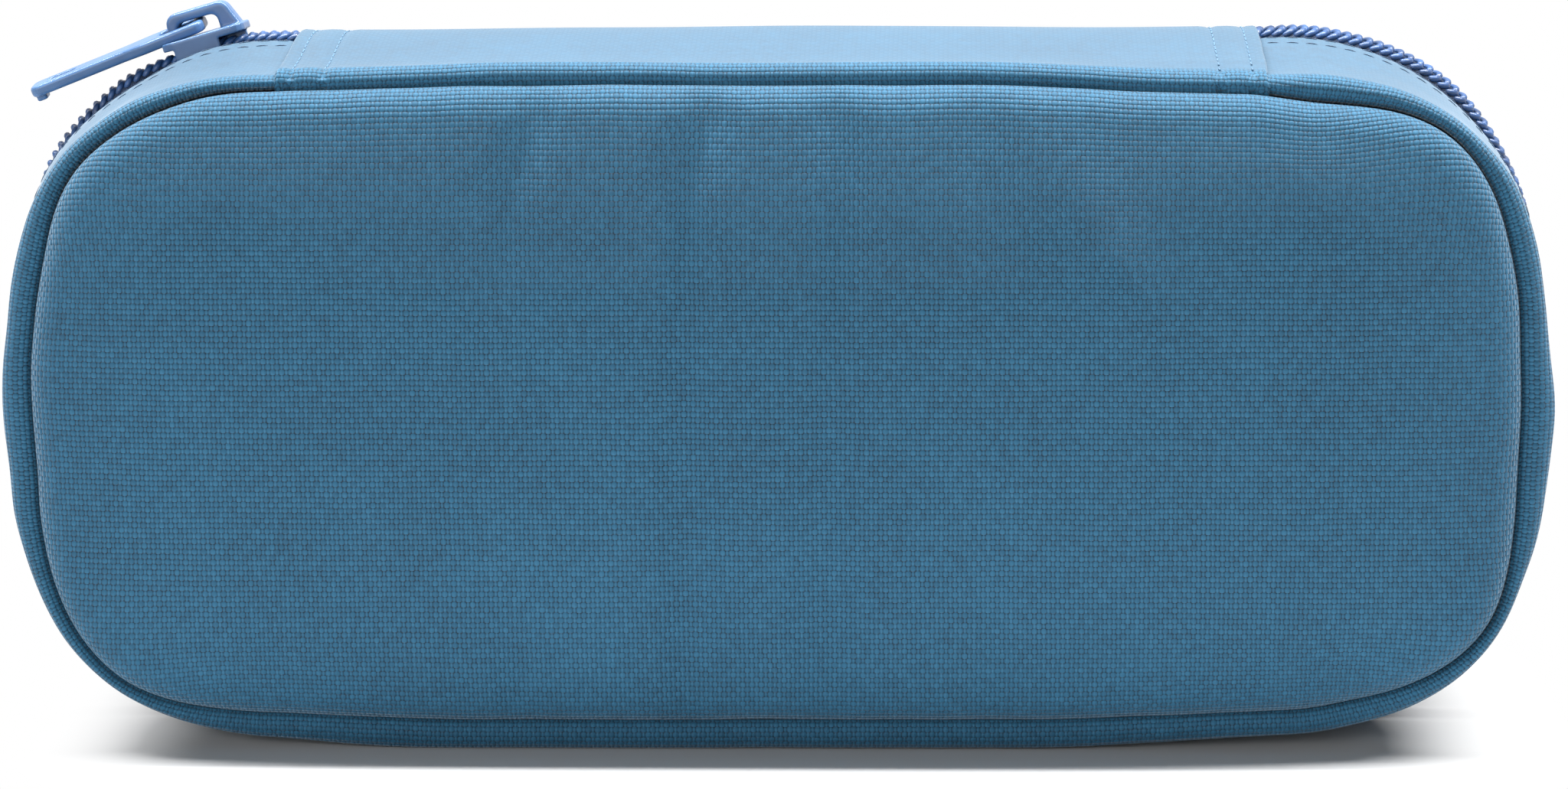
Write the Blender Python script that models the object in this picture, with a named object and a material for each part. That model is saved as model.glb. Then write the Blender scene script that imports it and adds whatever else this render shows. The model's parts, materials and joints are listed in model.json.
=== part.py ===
# A zipped box pencil case: two padded fabric halves joined along the top by a folding fabric
# panel, and closed round the other three sides by a coil zip with a sliding pull.
# Metres, +Z up. It stands on its long zip side, with the front half, the lid, towards -Y.
import math

import bmesh
import bpy

# Outline of the case, seen from the front
CASE_WIDTH = 0.220
CASE_HEIGHT = 0.100
CORNER_RADIUS = 0.0365
CORNER_STEPS = 8

# Depth: the two face seams, and the flat band of wall behind each rolled edge
SEAM_SPACING = 0.054
EDGE_ROLL = 0.0043
ROLL_STEPS = 4
FLAT_BAND = 0.0087

# The zip rim stands a little proud at the top and is pushed in underneath
TOP_LIFT = 0.0010
BOTTOM_TUCK = 0.0024

# Layers of the walls and faces
FABRIC = 0.0009
FOAM = 0.0020
LINING = 0.0006
LAYER_GAP = 0.0003

# Padded faces
FACE_RISE = 0.0045
FACE_SHOULDER = 0.012
SHOULDER_STEPS = 5

# Bound seam allowance inside each face seam
BINDING_WIDTH = 0.0060
BINDING_THICKNESS = 0.0024

# Coil zip
COIL_SPLIT = 0.0014
COIL_WIDTH = 0.0024
COIL_HEIGHT = 0.0016
COIL_CHAMFER = 0.0006
TAPE = 0.0006
TAPE_WIDTH = 0.0090
TAPE_SETBACK = 0.0004
LINING_SETBACK = 0.0006
LINING_RAMP = 0.0010

# Folding panel along the top
PANEL_INSET = 0.0035
PANEL_OVERLAP = 0.012
FOLD_GAP = 0.0006
FOLD_CLEARANCE = 0.0004

# Zip slider
SLIDER_ANGLE = math.radians(16)
SLIDER_LENGTH = 0.0125
SLIDER_PLATE = 0.0011
SLIDER_CORNER = 0.0018
SLIDER_CLEARANCE = 0.00045
RIM_CLEARANCE = 0.0006
FLANGE = 0.00085
FLANGE_LENGTH = 0.0068
FLANGE_LIFT = 0.00055
POST_LENGTH = 0.0030
BOND = 0.0003

# Crown of the slider, which holds the pull
CROWN_WIDTH = 0.0032
CROWN_BAR = 0.0015
CROWN_OPENING = 0.0024
CROWN_LENGTH = 0.0100
CROWN_SLANT = 0.0017
CROWN_ROUND = 0.0016
CROWN_EDGE = 0.00045

# Zip pull
PULL_LENGTH = 0.0275
PULL_WIDTH = 0.0050
PULL_THICKNESS = 0.0014
PULL_EDGE = 0.00035
PULL_DROOP = math.radians(5.5)
PULL_AXIS_HEIGHT = 0.0014
PULL_AXIS_SETBACK = 0.0003
EYE_LENGTH = 0.0058
EYE_CLEARANCE = 0.0004
EYE_BAR = 0.0012
HEAD_LENGTH = 0.0095
SLOT_LENGTH = 0.0046
SLOT_WIDTH = 0.0018
LIP_LENGTH = 0.0013
LIP_DROP = 0.0008

# Places that follow from those sizes. A place in a wall is given by its distance from the zip
# plane and its depth below the wall's outer surface.
SEAM = SEAM_SPACING / 2
ROLL_CENTRE = SEAM - EDGE_ROLL
FLAT_END = ROLL_CENTRE - FLAT_BAND
SEAM_DEPTH = EDGE_ROLL + LAYER_GAP / 2
COIL_EDGE = COIL_SPLIT / 2 + COIL_WIDTH
SLIDER_WIDTH = 2 * (COIL_EDGE + SLIDER_CLEARANCE + FLANGE)
POST_WIDTH = COIL_SPLIT - 2 * LAYER_GAP
RIM = SLIDER_WIDTH / 2 + RIM_CLEARANCE
TAPE_TOP = FABRIC + LAYER_GAP
TAPE_UNDER = TAPE_TOP + TAPE
TAPE_START = COIL_SPLIT / 2 + TAPE_SETBACK
TAPE_END = TAPE_START + TAPE_WIDTH
COIL_BASE = TAPE_TOP - LAYER_GAP
COIL_TOP = COIL_BASE - COIL_HEIGHT
FACE_FOAM_RISE = FACE_RISE - FABRIC - LAYER_GAP
FACE_LINING = SEAM + FACE_FOAM_RISE - FOAM - LAYER_GAP
BINDING_FRONT = min(SEAM, FACE_LINING - LINING) - LAYER_GAP
BINDING_BACK = BINDING_FRONT - BINDING_WIDTH
WALL_END = BINDING_BACK - LAYER_GAP
PANEL_HALF = CASE_WIDTH / 2 - CORNER_RADIUS - PANEL_INSET
ZIP_REACH = PANEL_HALF - PANEL_OVERLAP
PANEL_CREST = COIL_TOP - LAYER_GAP
FOLD = FOLD_GAP / 2
HINGE_Z = CASE_HEIGHT + TOP_LIFT - PANEL_CREST + FABRIC + FOLD_CLEARANCE
ARC_X = CORNER_RADIUS - CASE_WIDTH / 2
ARC_Z = CASE_HEIGHT + TOP_LIFT - CORNER_RADIUS
TAPE_RADIUS = CORNER_RADIUS - TAPE_TOP
PLATE_UNDER = TAPE_RADIUS + LAYER_GAP + COIL_HEIGHT + SLIDER_CLEARANCE
PLATE_TOP = PLATE_UNDER + SLIDER_PLATE

# Colour, roughness and metallic value of each finish
FINISHES = {
    "shell": ((0.045, 0.135, 0.225), 0.75, 0.0),
    "foam": ((0.62, 0.63, 0.62), 0.95, 0.0),
    "lining": ((0.030, 0.055, 0.090), 0.70, 0.0),
    "binding": ((0.022, 0.045, 0.080), 0.80, 0.0),
    "tape": ((0.030, 0.075, 0.160), 0.80, 0.0),
    "coil": ((0.050, 0.120, 0.300), 0.45, 0.0),
    "enamel": ((0.065, 0.125, 0.270), 0.30, 0.0),
}


def clear_scene():
    for obj in list(bpy.data.objects):
        bpy.data.objects.remove(obj, do_unlink=True)


def material_for(name, finish):
    colour, roughness, metallic = FINISHES[finish]
    material = bpy.data.materials.new(name)
    material.use_nodes = True
    material.diffuse_color = (*colour, 1.0)
    shader = material.node_tree.nodes["Principled BSDF"]
    shader.inputs["Base Color"].default_value = (*colour, 1.0)
    shader.inputs["Roughness"].default_value = roughness
    shader.inputs["Metallic"].default_value = metallic
    return material


def object_from(bm, name, finish, parent):
    mesh = bpy.data.meshes.new(name)
    bm.to_mesh(mesh)
    bm.free()
    mesh.shade_smooth()
    mesh.set_sharp_from_angle(angle=math.radians(40))
    obj = bpy.data.objects.new(name, mesh)
    bpy.context.scene.collection.objects.link(obj)
    mesh.materials.append(material_for(name, finish))
    obj.parent = parent
    return obj


def empty_at(name, place, turn_y, parent):
    empty = bpy.data.objects.new(name, None)
    bpy.context.scene.collection.objects.link(empty)
    empty.empty_display_size = 0.01
    empty.location = place
    empty.rotation_euler.y = turn_y
    empty.parent = parent
    return empty


# Share of the way from the rolled edge's outline to the zip rim's
def rim_share(away):
    return min(max((FLAT_END - away) / (FLAT_END - RIM), 0.0), 1.0)


def wall_low(away, depth):
    return BOTTOM_TUCK * rim_share(away) + depth


def wall_high(away, depth):
    return CASE_HEIGHT + TOP_LIFT * rim_share(away) - depth


# The whole outline, anticlockwise from the start of the top left corner, as (x, z)
def round_path(away, depth):
    radius = CORNER_RADIUS - depth
    reach = CASE_WIDTH / 2 - depth - radius
    low = wall_low(away, depth) + radius
    high = wall_high(away, depth) - radius
    centres = ((-reach, high), (-reach, low), (reach, low), (reach, high))
    points = []
    for corner, (x, z) in enumerate(centres):
        for step in range(CORNER_STEPS + 1):
            angle = math.pi / 2 * (corner + 1 + step / CORNER_STEPS)
            points.append((x + radius * math.cos(angle), z + radius * math.sin(angle)))
    return points


# The zip's run, from under one end of the folding panel round to the other
def zip_path(away, depth):
    high = wall_high(away, depth)
    return [(-ZIP_REACH, high), *round_path(away, depth), (ZIP_REACH, high)]


def panel_path(away, depth):
    high = wall_high(away, depth)
    return [(-PANEL_HALF, high), (PANEL_HALF, high)]


def inner_panel_path(away, depth):
    high = wall_high(away, depth)
    half = ZIP_REACH - LAYER_GAP
    return [(-half, high), (half, high)]


# Adds the places where the wall bends, so that a layer bends with it
def follow_wall(points):
    bent = [points[0]]
    for (away, depth), (next_away, next_depth) in zip(points, points[1:]):
        for bend in (FLAT_END, RIM):
            if min(away, next_away) < bend < max(away, next_away):
                share = (bend - away) / (next_away - away)
                bent.append((bend, depth + share * (next_depth - depth)))
        bent.append((next_away, next_depth))
    return bent


# A layer's closed section: a line from the seam side to the zip side, and its underside
def layer(points, thickness):
    top = follow_wall(points)
    under = [(away, depth + thickness) for away, depth in top]
    return top + under[::-1]


# The rolled edge between the seam and the flat band
def rolled_edge(radius):
    start = math.asin(LAYER_GAP / 2 / radius)
    points = []
    for step in range(ROLL_STEPS + 1):
        angle = start + (math.pi / 2 - start) * step / ROLL_STEPS
        points.append((ROLL_CENTRE + radius * math.cos(angle), EDGE_ROLL - radius * math.sin(angle)))
    return points


# The rounded shoulder of a face, a given depth below its outer surface
def face_shoulder(depth, start):
    across = FACE_SHOULDER - depth
    out = FACE_RISE - depth
    points = []
    for step in range(SHOULDER_STEPS + 1):
        angle = start + (math.pi / 2 - start) * step / SHOULDER_STEPS
        inset = SEAM_DEPTH + FACE_SHOULDER - across * math.cos(angle)
        points.append((SEAM + out * math.sin(angle), inset))
    return points


# Joins rows of points into one closed body. An open section or path is capped at its ends.
def skin(section, path, side, closed_section, closed_path):
    bm = bmesh.new()
    grid = []
    for away, depth in section:
        grid.append([bm.verts.new((x, side * away, z)) for x, z in path(away, depth)])
    row_pairs = list(zip(grid, grid[1:]))
    if closed_section:
        row_pairs.append((grid[-1], grid[0]))
    else:
        bm.faces.new(grid[0])
        bm.faces.new(grid[-1])
    for row, next_row in row_pairs:
        rungs = list(zip(row, next_row))
        following = rungs[1:] + rungs[:1] if closed_path else rungs[1:]
        for (a, b), (c, d) in zip(rungs, following):
            bm.faces.new((a, c, d, b))
    if not closed_path:
        bm.faces.new([row[0] for row in grid])
        bm.faces.new([row[-1] for row in grid])
    bmesh.ops.recalc_face_normals(bm, faces=bm.faces[:])
    return bm


def face_layers(side):
    outer = face_shoulder(0.0, 0.0)
    inner = face_shoulder(FABRIC, 0.0)
    foam_start = math.asin((FACE_FOAM_RISE - FOAM) / FACE_FOAM_RISE)
    foam = face_shoulder(FABRIC + LAYER_GAP, foam_start)
    edge = foam[0][1]
    lining = [(FACE_LINING, edge), (FACE_LINING - LINING, edge)]
    return {
        "face_fabric": (skin(inner[::-1] + outer, round_path, side, False, True), "shell"),
        "face_foam": (skin(foam, round_path, side, False, True), "foam"),
        "face_lining": (skin(lining, round_path, side, False, True), "lining"),
    }


def wall_layers(side):
    fabric_top = rolled_edge(EDGE_ROLL) + [(FLAT_END, 0.0), (RIM, 0.0)]
    fabric_under = [(RIM, FABRIC), (FLAT_END, FABRIC), *rolled_edge(EDGE_ROLL - FABRIC)[::-1]]
    ramp_end = TAPE_END + LINING_RAMP
    foam = layer([(WALL_END, TAPE_TOP), (ramp_end + LAYER_GAP, TAPE_TOP)], FOAM)
    lining_high = TAPE_UNDER + LAYER_GAP
    lining_low = TAPE_TOP + FOAM + LAYER_GAP
    lining_edge = RIM + LINING_SETBACK
    lining_line = [
        (WALL_END, lining_low),
        (ramp_end, lining_low),
        (TAPE_END, lining_high),
        (lining_edge, lining_high),
    ]
    binding_low = EDGE_ROLL + LAYER_GAP
    binding = layer([(BINDING_FRONT, binding_low), (BINDING_BACK, binding_low)], BINDING_THICKNESS)
    return {
        "gusset_fabric": (skin(fabric_top + fabric_under, zip_path, side, True, False), "shell"),
        "gusset_foam": (skin(foam, zip_path, side, True, False), "foam"),
        "gusset_lining": (skin(layer(lining_line, LINING), zip_path, side, True, False), "lining"),
        "seam_binding": (skin(binding, round_path, side, True, True), "binding"),
    }


def zip_layers(side):
    tape = layer([(TAPE_END, TAPE_TOP), (TAPE_START, TAPE_TOP)], TAPE)
    near = COIL_SPLIT / 2
    coil = [
        (COIL_EDGE, COIL_BASE),
        (COIL_EDGE, COIL_TOP + COIL_CHAMFER),
        (COIL_EDGE - COIL_CHAMFER, COIL_TOP),
        (near + COIL_CHAMFER, COIL_TOP),
        (near, COIL_TOP + COIL_CHAMFER),
        (near, COIL_BASE),
    ]
    return {
        "zip_tape": (skin(tape, zip_path, side, True, False), "tape"),
        "zip_coil": (skin(coil, zip_path, side, True, False), "coil"),
    }


def panel_layers(side):
    outer_roll = rolled_edge(EDGE_ROLL + LAYER_GAP + FABRIC)
    inner_roll = rolled_edge(EDGE_ROLL + LAYER_GAP)
    top = [
        *outer_roll,
        (FLAT_END, -LAYER_GAP - FABRIC),
        (RIM, PANEL_CREST - FABRIC),
        (FOLD, PANEL_CREST - FABRIC),
    ]
    under = [(FOLD, PANEL_CREST), (RIM, PANEL_CREST), (FLAT_END, -LAYER_GAP), *inner_roll[::-1]]
    line = [(WALL_END, 0.0), (FLAT_END, 0.0), (RIM, PANEL_CREST + LAYER_GAP)]
    foam_line = [*line, (FOLD + FOAM, PANEL_CREST + LAYER_GAP)]
    step = FOAM + LAYER_GAP
    lining_line = [(away, depth + step) for away, depth in line]
    lining_line.append((FOLD, PANEL_CREST + LAYER_GAP + step))
    return {
        "hinge_panel": (skin(top + under, panel_path, side, True, False), "shell"),
        "hinge_foam": (skin(layer(foam_line, FOAM), inner_panel_path, side, True, False), "foam"),
        "hinge_lining": (
            skin(layer(lining_line, LINING), inner_panel_path, side, True, False),
            "lining",
        ),
    }


def case_half(prefix, side, parent, offset):
    for layers in (face_layers, wall_layers, zip_layers, panel_layers):
        for name, (bm, finish) in layers(side).items():
            piece = object_from(bm, f"{prefix}_{name}", finish, parent)
            piece.location = offset


# A box from its lowest and highest corners
def box(low, high):
    bm = bmesh.new()
    bmesh.ops.create_cube(bm, size=1.0)
    for vert in bm.verts:
        vert.co = [(a + b) / 2 + c * (b - a) for a, b, c in zip(low, high, vert.co)]
    return bm


# Rounds the edges of a box that run along one axis
def round_edges(bm, axis, radius, segments):
    edges = []
    for edge in bm.edges:
        along = edge.verts[1].co - edge.verts[0].co
        if abs(along[axis]) > 0.99 * along.length:
            edges.append(edge)
    bmesh.ops.bevel(bm, geom=edges, offset=radius, segments=segments, profile=0.5, affect="EDGES")


# An outline with some corners rounded: each point is (across, up, radius)
def rounded_outline(points, steps):
    outline = []
    for index, (x, y, radius) in enumerate(points):
        before = points[index - 1]
        after = points[(index + 1) % len(points)]
        into = math.atan2(y - before[1], x - before[0])
        out = math.atan2(after[1] - y, after[0] - x)
        turn = (out - into + math.pi) % (2 * math.pi) - math.pi
        if radius == 0.0:
            outline.append((x, y))
            continue
        back = radius * math.tan(abs(turn) / 2)
        start_x = x - back * math.cos(into)
        start_y = y - back * math.sin(into)
        hand = math.copysign(math.pi / 2, turn)
        centre_x = start_x + radius * math.cos(into + hand)
        centre_y = start_y + radius * math.sin(into + hand)
        for step in range(steps + 1):
            angle = into - hand + turn * step / steps
            outline.append((centre_x + radius * math.cos(angle), centre_y + radius * math.sin(angle)))
    return outline


# A plate cut to an outline: place turns an outline point and a height into x, y, z
def plate(outline, low, high, place):
    bm = bmesh.new()
    face = bm.faces.new([bm.verts.new(place(x, y, low)) for x, y in outline])
    raised = bmesh.ops.extrude_face_region(bm, geom=[face])
    lift = [b - a for a, b in zip(place(0, 0, low), place(0, 0, high))]
    verts = [item for item in raised["geom"] if isinstance(item, bmesh.types.BMVert)]
    bmesh.ops.translate(bm, verts=verts, vec=lift)
    bmesh.ops.recalc_face_normals(bm, faces=bm.faces[:])
    return bm


# Softens the rims of a plate, where a flat side meets the cut edge
def soften_rims(bm, axis, width, segments):
    rims = []
    for edge in bm.edges:
        flat = [abs(face.normal[axis]) > 0.99 for face in edge.link_faces]
        if any(flat) and not all(flat):
            rims.append(edge)
    bmesh.ops.bevel(bm, geom=rims, offset=width, segments=segments, profile=0.5, affect="EDGES")


def combine(target, helper, operation):
    helper.hide_render = True
    helper.display_type = "WIRE"
    modifier = target.modifiers.new(helper.name, "BOOLEAN")
    modifier.operation = operation
    modifier.solver = "EXACT"
    modifier.object = helper


def crown_outline():
    nose = CROWN_LENGTH / 2 + CROWN_SLANT / 2
    rear = nose - CROWN_LENGTH - CROWN_SLANT / 2
    top = PLATE_TOP + CROWN_OPENING + CROWN_BAR
    under = PLATE_TOP + CROWN_OPENING
    foot = PLATE_TOP - BOND
    inner = CROWN_ROUND * 2 / 3
    points = [
        (nose, foot, 0.0),
        (nose - CROWN_SLANT, top, CROWN_ROUND),
        (rear, top, CROWN_ROUND),
        (rear, foot, 0.0),
        (rear + CROWN_BAR, foot, 0.0),
        (rear + CROWN_BAR, under, inner),
        (nose - CROWN_SLANT - CROWN_BAR, under, inner),
        (nose - CROWN_SLANT - CROWN_BAR, foot, 0.0),
    ]
    return rounded_outline(points, 4)


# The slider is built at the top of the corner's arc, and its empty turns it to its place
def slider(parent):
    half_length = SLIDER_LENGTH / 2
    half_width = SLIDER_WIDTH / 2
    upper = box((-half_length, -half_width, PLATE_UNDER), (half_length, half_width, PLATE_TOP))
    round_edges(upper, 2, SLIDER_CORNER, 3)
    body = object_from(upper, "slider_body", "enamel", parent)

    sag = SLIDER_LENGTH**2 / (8 * TAPE_RADIUS)
    lower_top = TAPE_RADIUS - TAPE - sag - SLIDER_CLEARANCE
    lower = box(
        (-half_length, -half_width, lower_top - SLIDER_PLATE),
        (half_length, half_width, lower_top),
    )
    round_edges(lower, 2, SLIDER_CORNER, 3)
    helpers = {"slider_lower_plate": lower}

    flange_rear = SLIDER_CORNER - half_length
    for side, label in ((-1, "front"), (1, "back")):
        edges = sorted((side * half_width, side * (half_width - FLANGE)))
        helpers[f"slider_{label}_flange"] = box(
            (flange_rear, edges[0], TAPE_RADIUS + FLANGE_LIFT),
            (flange_rear + FLANGE_LENGTH, edges[1], PLATE_UNDER + BOND),
        )

    post_nose = half_length - BOND
    helpers["slider_post"] = box(
        (post_nose - POST_LENGTH, -POST_WIDTH / 2, lower_top - BOND),
        (post_nose, POST_WIDTH / 2, PLATE_UNDER + BOND),
    )

    crown = plate(
        crown_outline(),
        -CROWN_WIDTH / 2,
        CROWN_WIDTH / 2,
        lambda x, z, y: (x, y, z),
    )
    soften_rims(crown, 1, CROWN_EDGE, 2)
    helpers["slider_crown"] = crown
    for name, bm in helpers.items():
        combine(body, object_from(bm, name, "enamel", parent), "UNION")


# The pull runs towards -X from the axis where its eye hangs in the crown
def pull(parent):
    eye_width = CROWN_WIDTH + 2 * EYE_CLEARANCE
    head = eye_width / 2 + EYE_BAR
    tail = PULL_WIDTH / 2
    half = PULL_THICKNESS / 2
    nose = half
    end = nose - PULL_LENGTH
    outline = rounded_outline(
        [
            (nose, head, head / 2),
            (nose - HEAD_LENGTH, head, head),
            (nose - HEAD_LENGTH - head, tail, head),
            (end, tail, tail / 2),
            (end, -tail, tail / 2),
            (nose - HEAD_LENGTH - head, -tail, head),
            (nose - HEAD_LENGTH, -head, head),
            (nose, -head, head / 2),
        ],
        4,
    )
    bar = plate(outline, -half, half, lambda x, y, z: (x, y, z))
    soften_rims(bar, 2, PULL_EDGE, 2)
    body = object_from(bar, "slider_pull", "enamel", parent)

    lip = box(
        (end + PULL_EDGE, -tail / 2, -half - LIP_DROP),
        (end + PULL_EDGE + LIP_LENGTH, tail / 2, -half + BOND),
    )
    combine(body, object_from(lip, "pull_lip", "enamel", parent), "UNION")

    eye_nose = nose - PULL_THICKNESS
    slot_end = end + tail
    eye = box((eye_nose - EYE_LENGTH, -eye_width / 2, -2 * half), (eye_nose, eye_width / 2, 2 * half))
    round_edges(eye, 2, eye_width / 4, 3)
    slot = box(
        (slot_end, -SLOT_WIDTH / 2, -2 * half),
        (slot_end + SLOT_LENGTH, SLOT_WIDTH / 2, 2 * half),
    )
    round_edges(slot, 2, SLOT_WIDTH * 0.45, 3)
    for name, cutter in (("pull_eye", eye), ("pull_slot", slot)):
        combine(body, object_from(cutter, name, "enamel", parent), "DIFFERENCE")


def main():
    clear_scene()
    case_half("back", 1, None, (0.0, 0.0, 0.0))
    lid_hinge = empty_at("lid_hinge_axis", (0.0, 0.0, HINGE_Z), 0.0, None)
    case_half("front", -1, lid_hinge, (0.0, 0.0, -HINGE_Z))
    arc = empty_at("slider_arc_axis", (ARC_X, 0.0, ARC_Z), -SLIDER_ANGLE, None)
    slider(arc)
    axis_place = (-PULL_AXIS_SETBACK, 0.0, PLATE_TOP + PULL_AXIS_HEIGHT)
    pull(empty_at("pull_axis", axis_place, -PULL_DROOP, arc))


main()
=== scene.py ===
import json
import math

import bmesh
import bpy
import numpy as np
from mathutils import Matrix, Quaternion, Vector


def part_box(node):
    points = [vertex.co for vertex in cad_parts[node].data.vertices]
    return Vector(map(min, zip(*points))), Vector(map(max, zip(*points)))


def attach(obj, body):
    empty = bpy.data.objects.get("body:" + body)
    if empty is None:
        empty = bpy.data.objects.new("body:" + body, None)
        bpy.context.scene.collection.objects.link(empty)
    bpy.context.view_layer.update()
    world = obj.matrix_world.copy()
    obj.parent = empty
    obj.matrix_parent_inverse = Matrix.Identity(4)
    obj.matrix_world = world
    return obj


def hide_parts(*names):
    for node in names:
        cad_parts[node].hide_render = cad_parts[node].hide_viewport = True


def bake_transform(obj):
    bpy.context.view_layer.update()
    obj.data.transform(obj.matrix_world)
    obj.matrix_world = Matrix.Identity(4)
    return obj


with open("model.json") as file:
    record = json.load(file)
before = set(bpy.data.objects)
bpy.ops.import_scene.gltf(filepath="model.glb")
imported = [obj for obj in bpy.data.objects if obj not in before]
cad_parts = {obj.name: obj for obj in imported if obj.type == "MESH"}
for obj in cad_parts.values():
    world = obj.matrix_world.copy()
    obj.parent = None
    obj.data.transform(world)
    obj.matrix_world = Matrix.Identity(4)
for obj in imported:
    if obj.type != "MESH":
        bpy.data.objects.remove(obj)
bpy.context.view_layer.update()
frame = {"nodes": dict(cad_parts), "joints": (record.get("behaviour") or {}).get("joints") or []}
mm = 0.001
print("frame loaded:", len(frame["nodes"]), "nodes")


def linkObject(name, data, material=None):
    obj = bpy.data.objects.new(name, data)
    bpy.context.scene.collection.objects.link(obj)
    if material:
        data.materials.clear()
        data.materials.append(material)
    return obj


# The photographed view: angles in degrees, and the focal length in pixels of the 2048 x 1031 picture
shot = {
    "target": (0.7 * mm, 0.0, 47.8 * mm),
    "azimuth": 2.2,
    "elevation": 8.9,
    "roll": -0.35,
    "distance": 660 * mm,
    "focalPixels": 5815.0,
    "imageWidth": 2048.0,
    "sensor": 36.0,
    "clip": (0.01, 50.0),
}


def makeCamera():
    turn = math.radians(shot["azimuth"])
    rise = math.radians(shot["elevation"])
    back = Vector((math.sin(turn) * math.cos(rise), -math.cos(turn) * math.cos(rise), math.sin(rise)))
    lens = bpy.data.cameras.new("photo_camera")
    lens.sensor_width = shot["sensor"]
    lens.lens = shot["focalPixels"] / shot["imageWidth"] * shot["sensor"]
    lens.clip_start, lens.clip_end = shot["clip"]
    camera = linkObject("photo_camera", lens)
    camera.location = Vector(shot["target"]) + back * shot["distance"]
    aim = (-back).to_track_quat("-Z", "Y")
    camera.rotation_euler = (aim @ Quaternion((0, 0, 1), math.radians(shot["roll"]))).to_euler()
    bpy.context.scene.camera = camera


makeCamera()


# Sizes that every piece shares, read from the frame where it gives them
joints = {joint["name"]: joint for joint in frame["joints"]}
wallLow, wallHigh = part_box("back_gusset_fabric")
case = {
    "topLift": 1.0 * mm,      # the zip rim stands above the bands at the top
    "bottomTuck": 2.4 * mm,   # and is pushed in underneath
    "bandEnd": 14.0 * mm,     # where the wall starts to bend towards the rim
    "zipCover": 12.0 * mm,    # length of zip under each end of the top panel
    "halfWidth": wallHigh.x,
    "radius": wallHigh.x + joints["slider_travel"]["pos_m"][0],
    "rim": wallLow.y,
    "panelHalf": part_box("back_hinge_panel")[1].x,
}
case["height"] = wallHigh.z - case["topLift"]
case["zipReach"] = case["panelHalf"] - case["zipCover"]
case["reach"] = case["halfWidth"] - case["radius"]
case["side"] = case["height"] - 2 * case["radius"]
halves = (("front", -1), ("back", 1))


def smooth(share):
    share = np.clip(share, 0.0, 1.0)
    return share * share * (3 - 2 * share)


# From 0 to 1 as a distance falls from a start, over a run
def easedIn(distance, start, run):
    return smooth((start - distance) / run)


def bell(distance, width):
    return np.exp(-((distance / width) ** 2))


# Length round the outline, a given depth below its outer line
def perimeter(depth):
    return 2 * math.pi * (case["radius"] - depth) + 4 * case["reach"] + 2 * case["side"]


# Points round the outline, by length from the start of the top left corner, going left and down.
# Each row has the place of the corner's centre, from -1 to 1 in x and z, the outward direction, and the
# length along the outer line.
def stationsAt(lengths, depth):
    quarter = (case["radius"] - depth) * math.pi / 2
    corners = ((-1, 1), (-1, -1), (1, -1), (1, 1))
    straights = (case["side"], 2 * case["reach"]) * 2
    runs = []
    outer = [0.0]
    for index, (corner, straight) in enumerate(zip(corners, straights)):
        following = corners[(index + 1) % 4]
        angle = math.pi / 2 * (index + 1)
        runs.append((quarter, corner, corner, angle, angle + math.pi / 2))
        runs.append((straight, corner, following, angle + math.pi / 2, angle + math.pi / 2))
        outer.append(outer[-1] + case["radius"] * math.pi / 2)
        outer.append(outer[-1] + straight)
    ends = np.cumsum([run[0] for run in runs])
    rows = []
    for length in np.mod(lengths, ends[-1]):
        index = min(int(np.searchsorted(ends, length, side="right")), len(runs) - 1)
        size, start, end, angle, lastAngle = runs[index]
        share = 1 - (ends[index] - length) / size
        turn = angle + (lastAngle - angle) * share
        rows.append((
            start[0] + (end[0] - start[0]) * share,
            start[1] + (end[1] - start[1]) * share,
            math.cos(turn),
            math.sin(turn),
            outer[index] + (outer[index + 1] - outer[index]) * share,
        ))
    return np.array(rows)


def outward(stations):
    return np.stack([stations[:, 2], np.zeros(len(stations)), stations[:, 3]], axis=1)


# How far sewing and stuffing have drawn the cloth in from the plain outline, at the places where it turns:
# length round the outline and distance, in mm, for the tube beside the seam, the seam, the rim and the coil
tubeDraw = (
    (2, 2.5), (33, 1.0), (50, 1.0), (70, -0.45), (97, 1.15), (109, 0.9), (135, 1.8), (165, 0.0),
    (250, 0.2), (296, 2.4), (322, 0.75), (334, 1.1), (358, -0.8), (378, 0.7), (396, 0.4), (431, 2.75),
)
seamDraw = (
    (0, 0.25), (12, 0.25), (31, -0.55), (50, 0.9), (67, -0.35), (88, 0.25), (114, -1.2),
    (139, 1.2), (170, 0.2), (250, 0.4), (297, 2.0), (325, -1.4), (342, 0.05), (360, -0.3),
    (381, 0.2), (402, -1.38), (427, 1.95), (437, 0.9), (475, -0.5), (540, -0.65), (570, 0.0),
)
rimDraw = ((8, 0.0), (19, 0.35), (42, -1.45), (62, 0.0), (366, 0.0), (384, -0.75), (402, -0.12), (438, 0.0))
coilDraw = (
    (14, 0.0), (26, -1.0), (39, -1.7), (52, 0.0),
    (370, 0.0), (388, -0.6), (405, -1.15), (424, -0.5), (438, 0.0),
)
coilShare = {-1: 0.65, 1: 1.1}   # the back coil stands out further than the front one


def drawnIn(table, stations):
    places, sizes = np.array(table).T * mm
    whole = perimeter(0.0)
    places = np.append(places, places[0] + whole)
    sizes = np.append(sizes, sizes[0])
    lengths = places[0] + np.mod(stations[:, 4] - places[0], whole)
    index = np.clip(np.searchsorted(places, lengths, side="right") - 1, 0, len(places) - 2)
    share = smooth((lengths - places[index]) / (places[index + 1] - places[index]))
    return sizes[index] + (sizes[index + 1] - sizes[index]) * share


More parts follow.
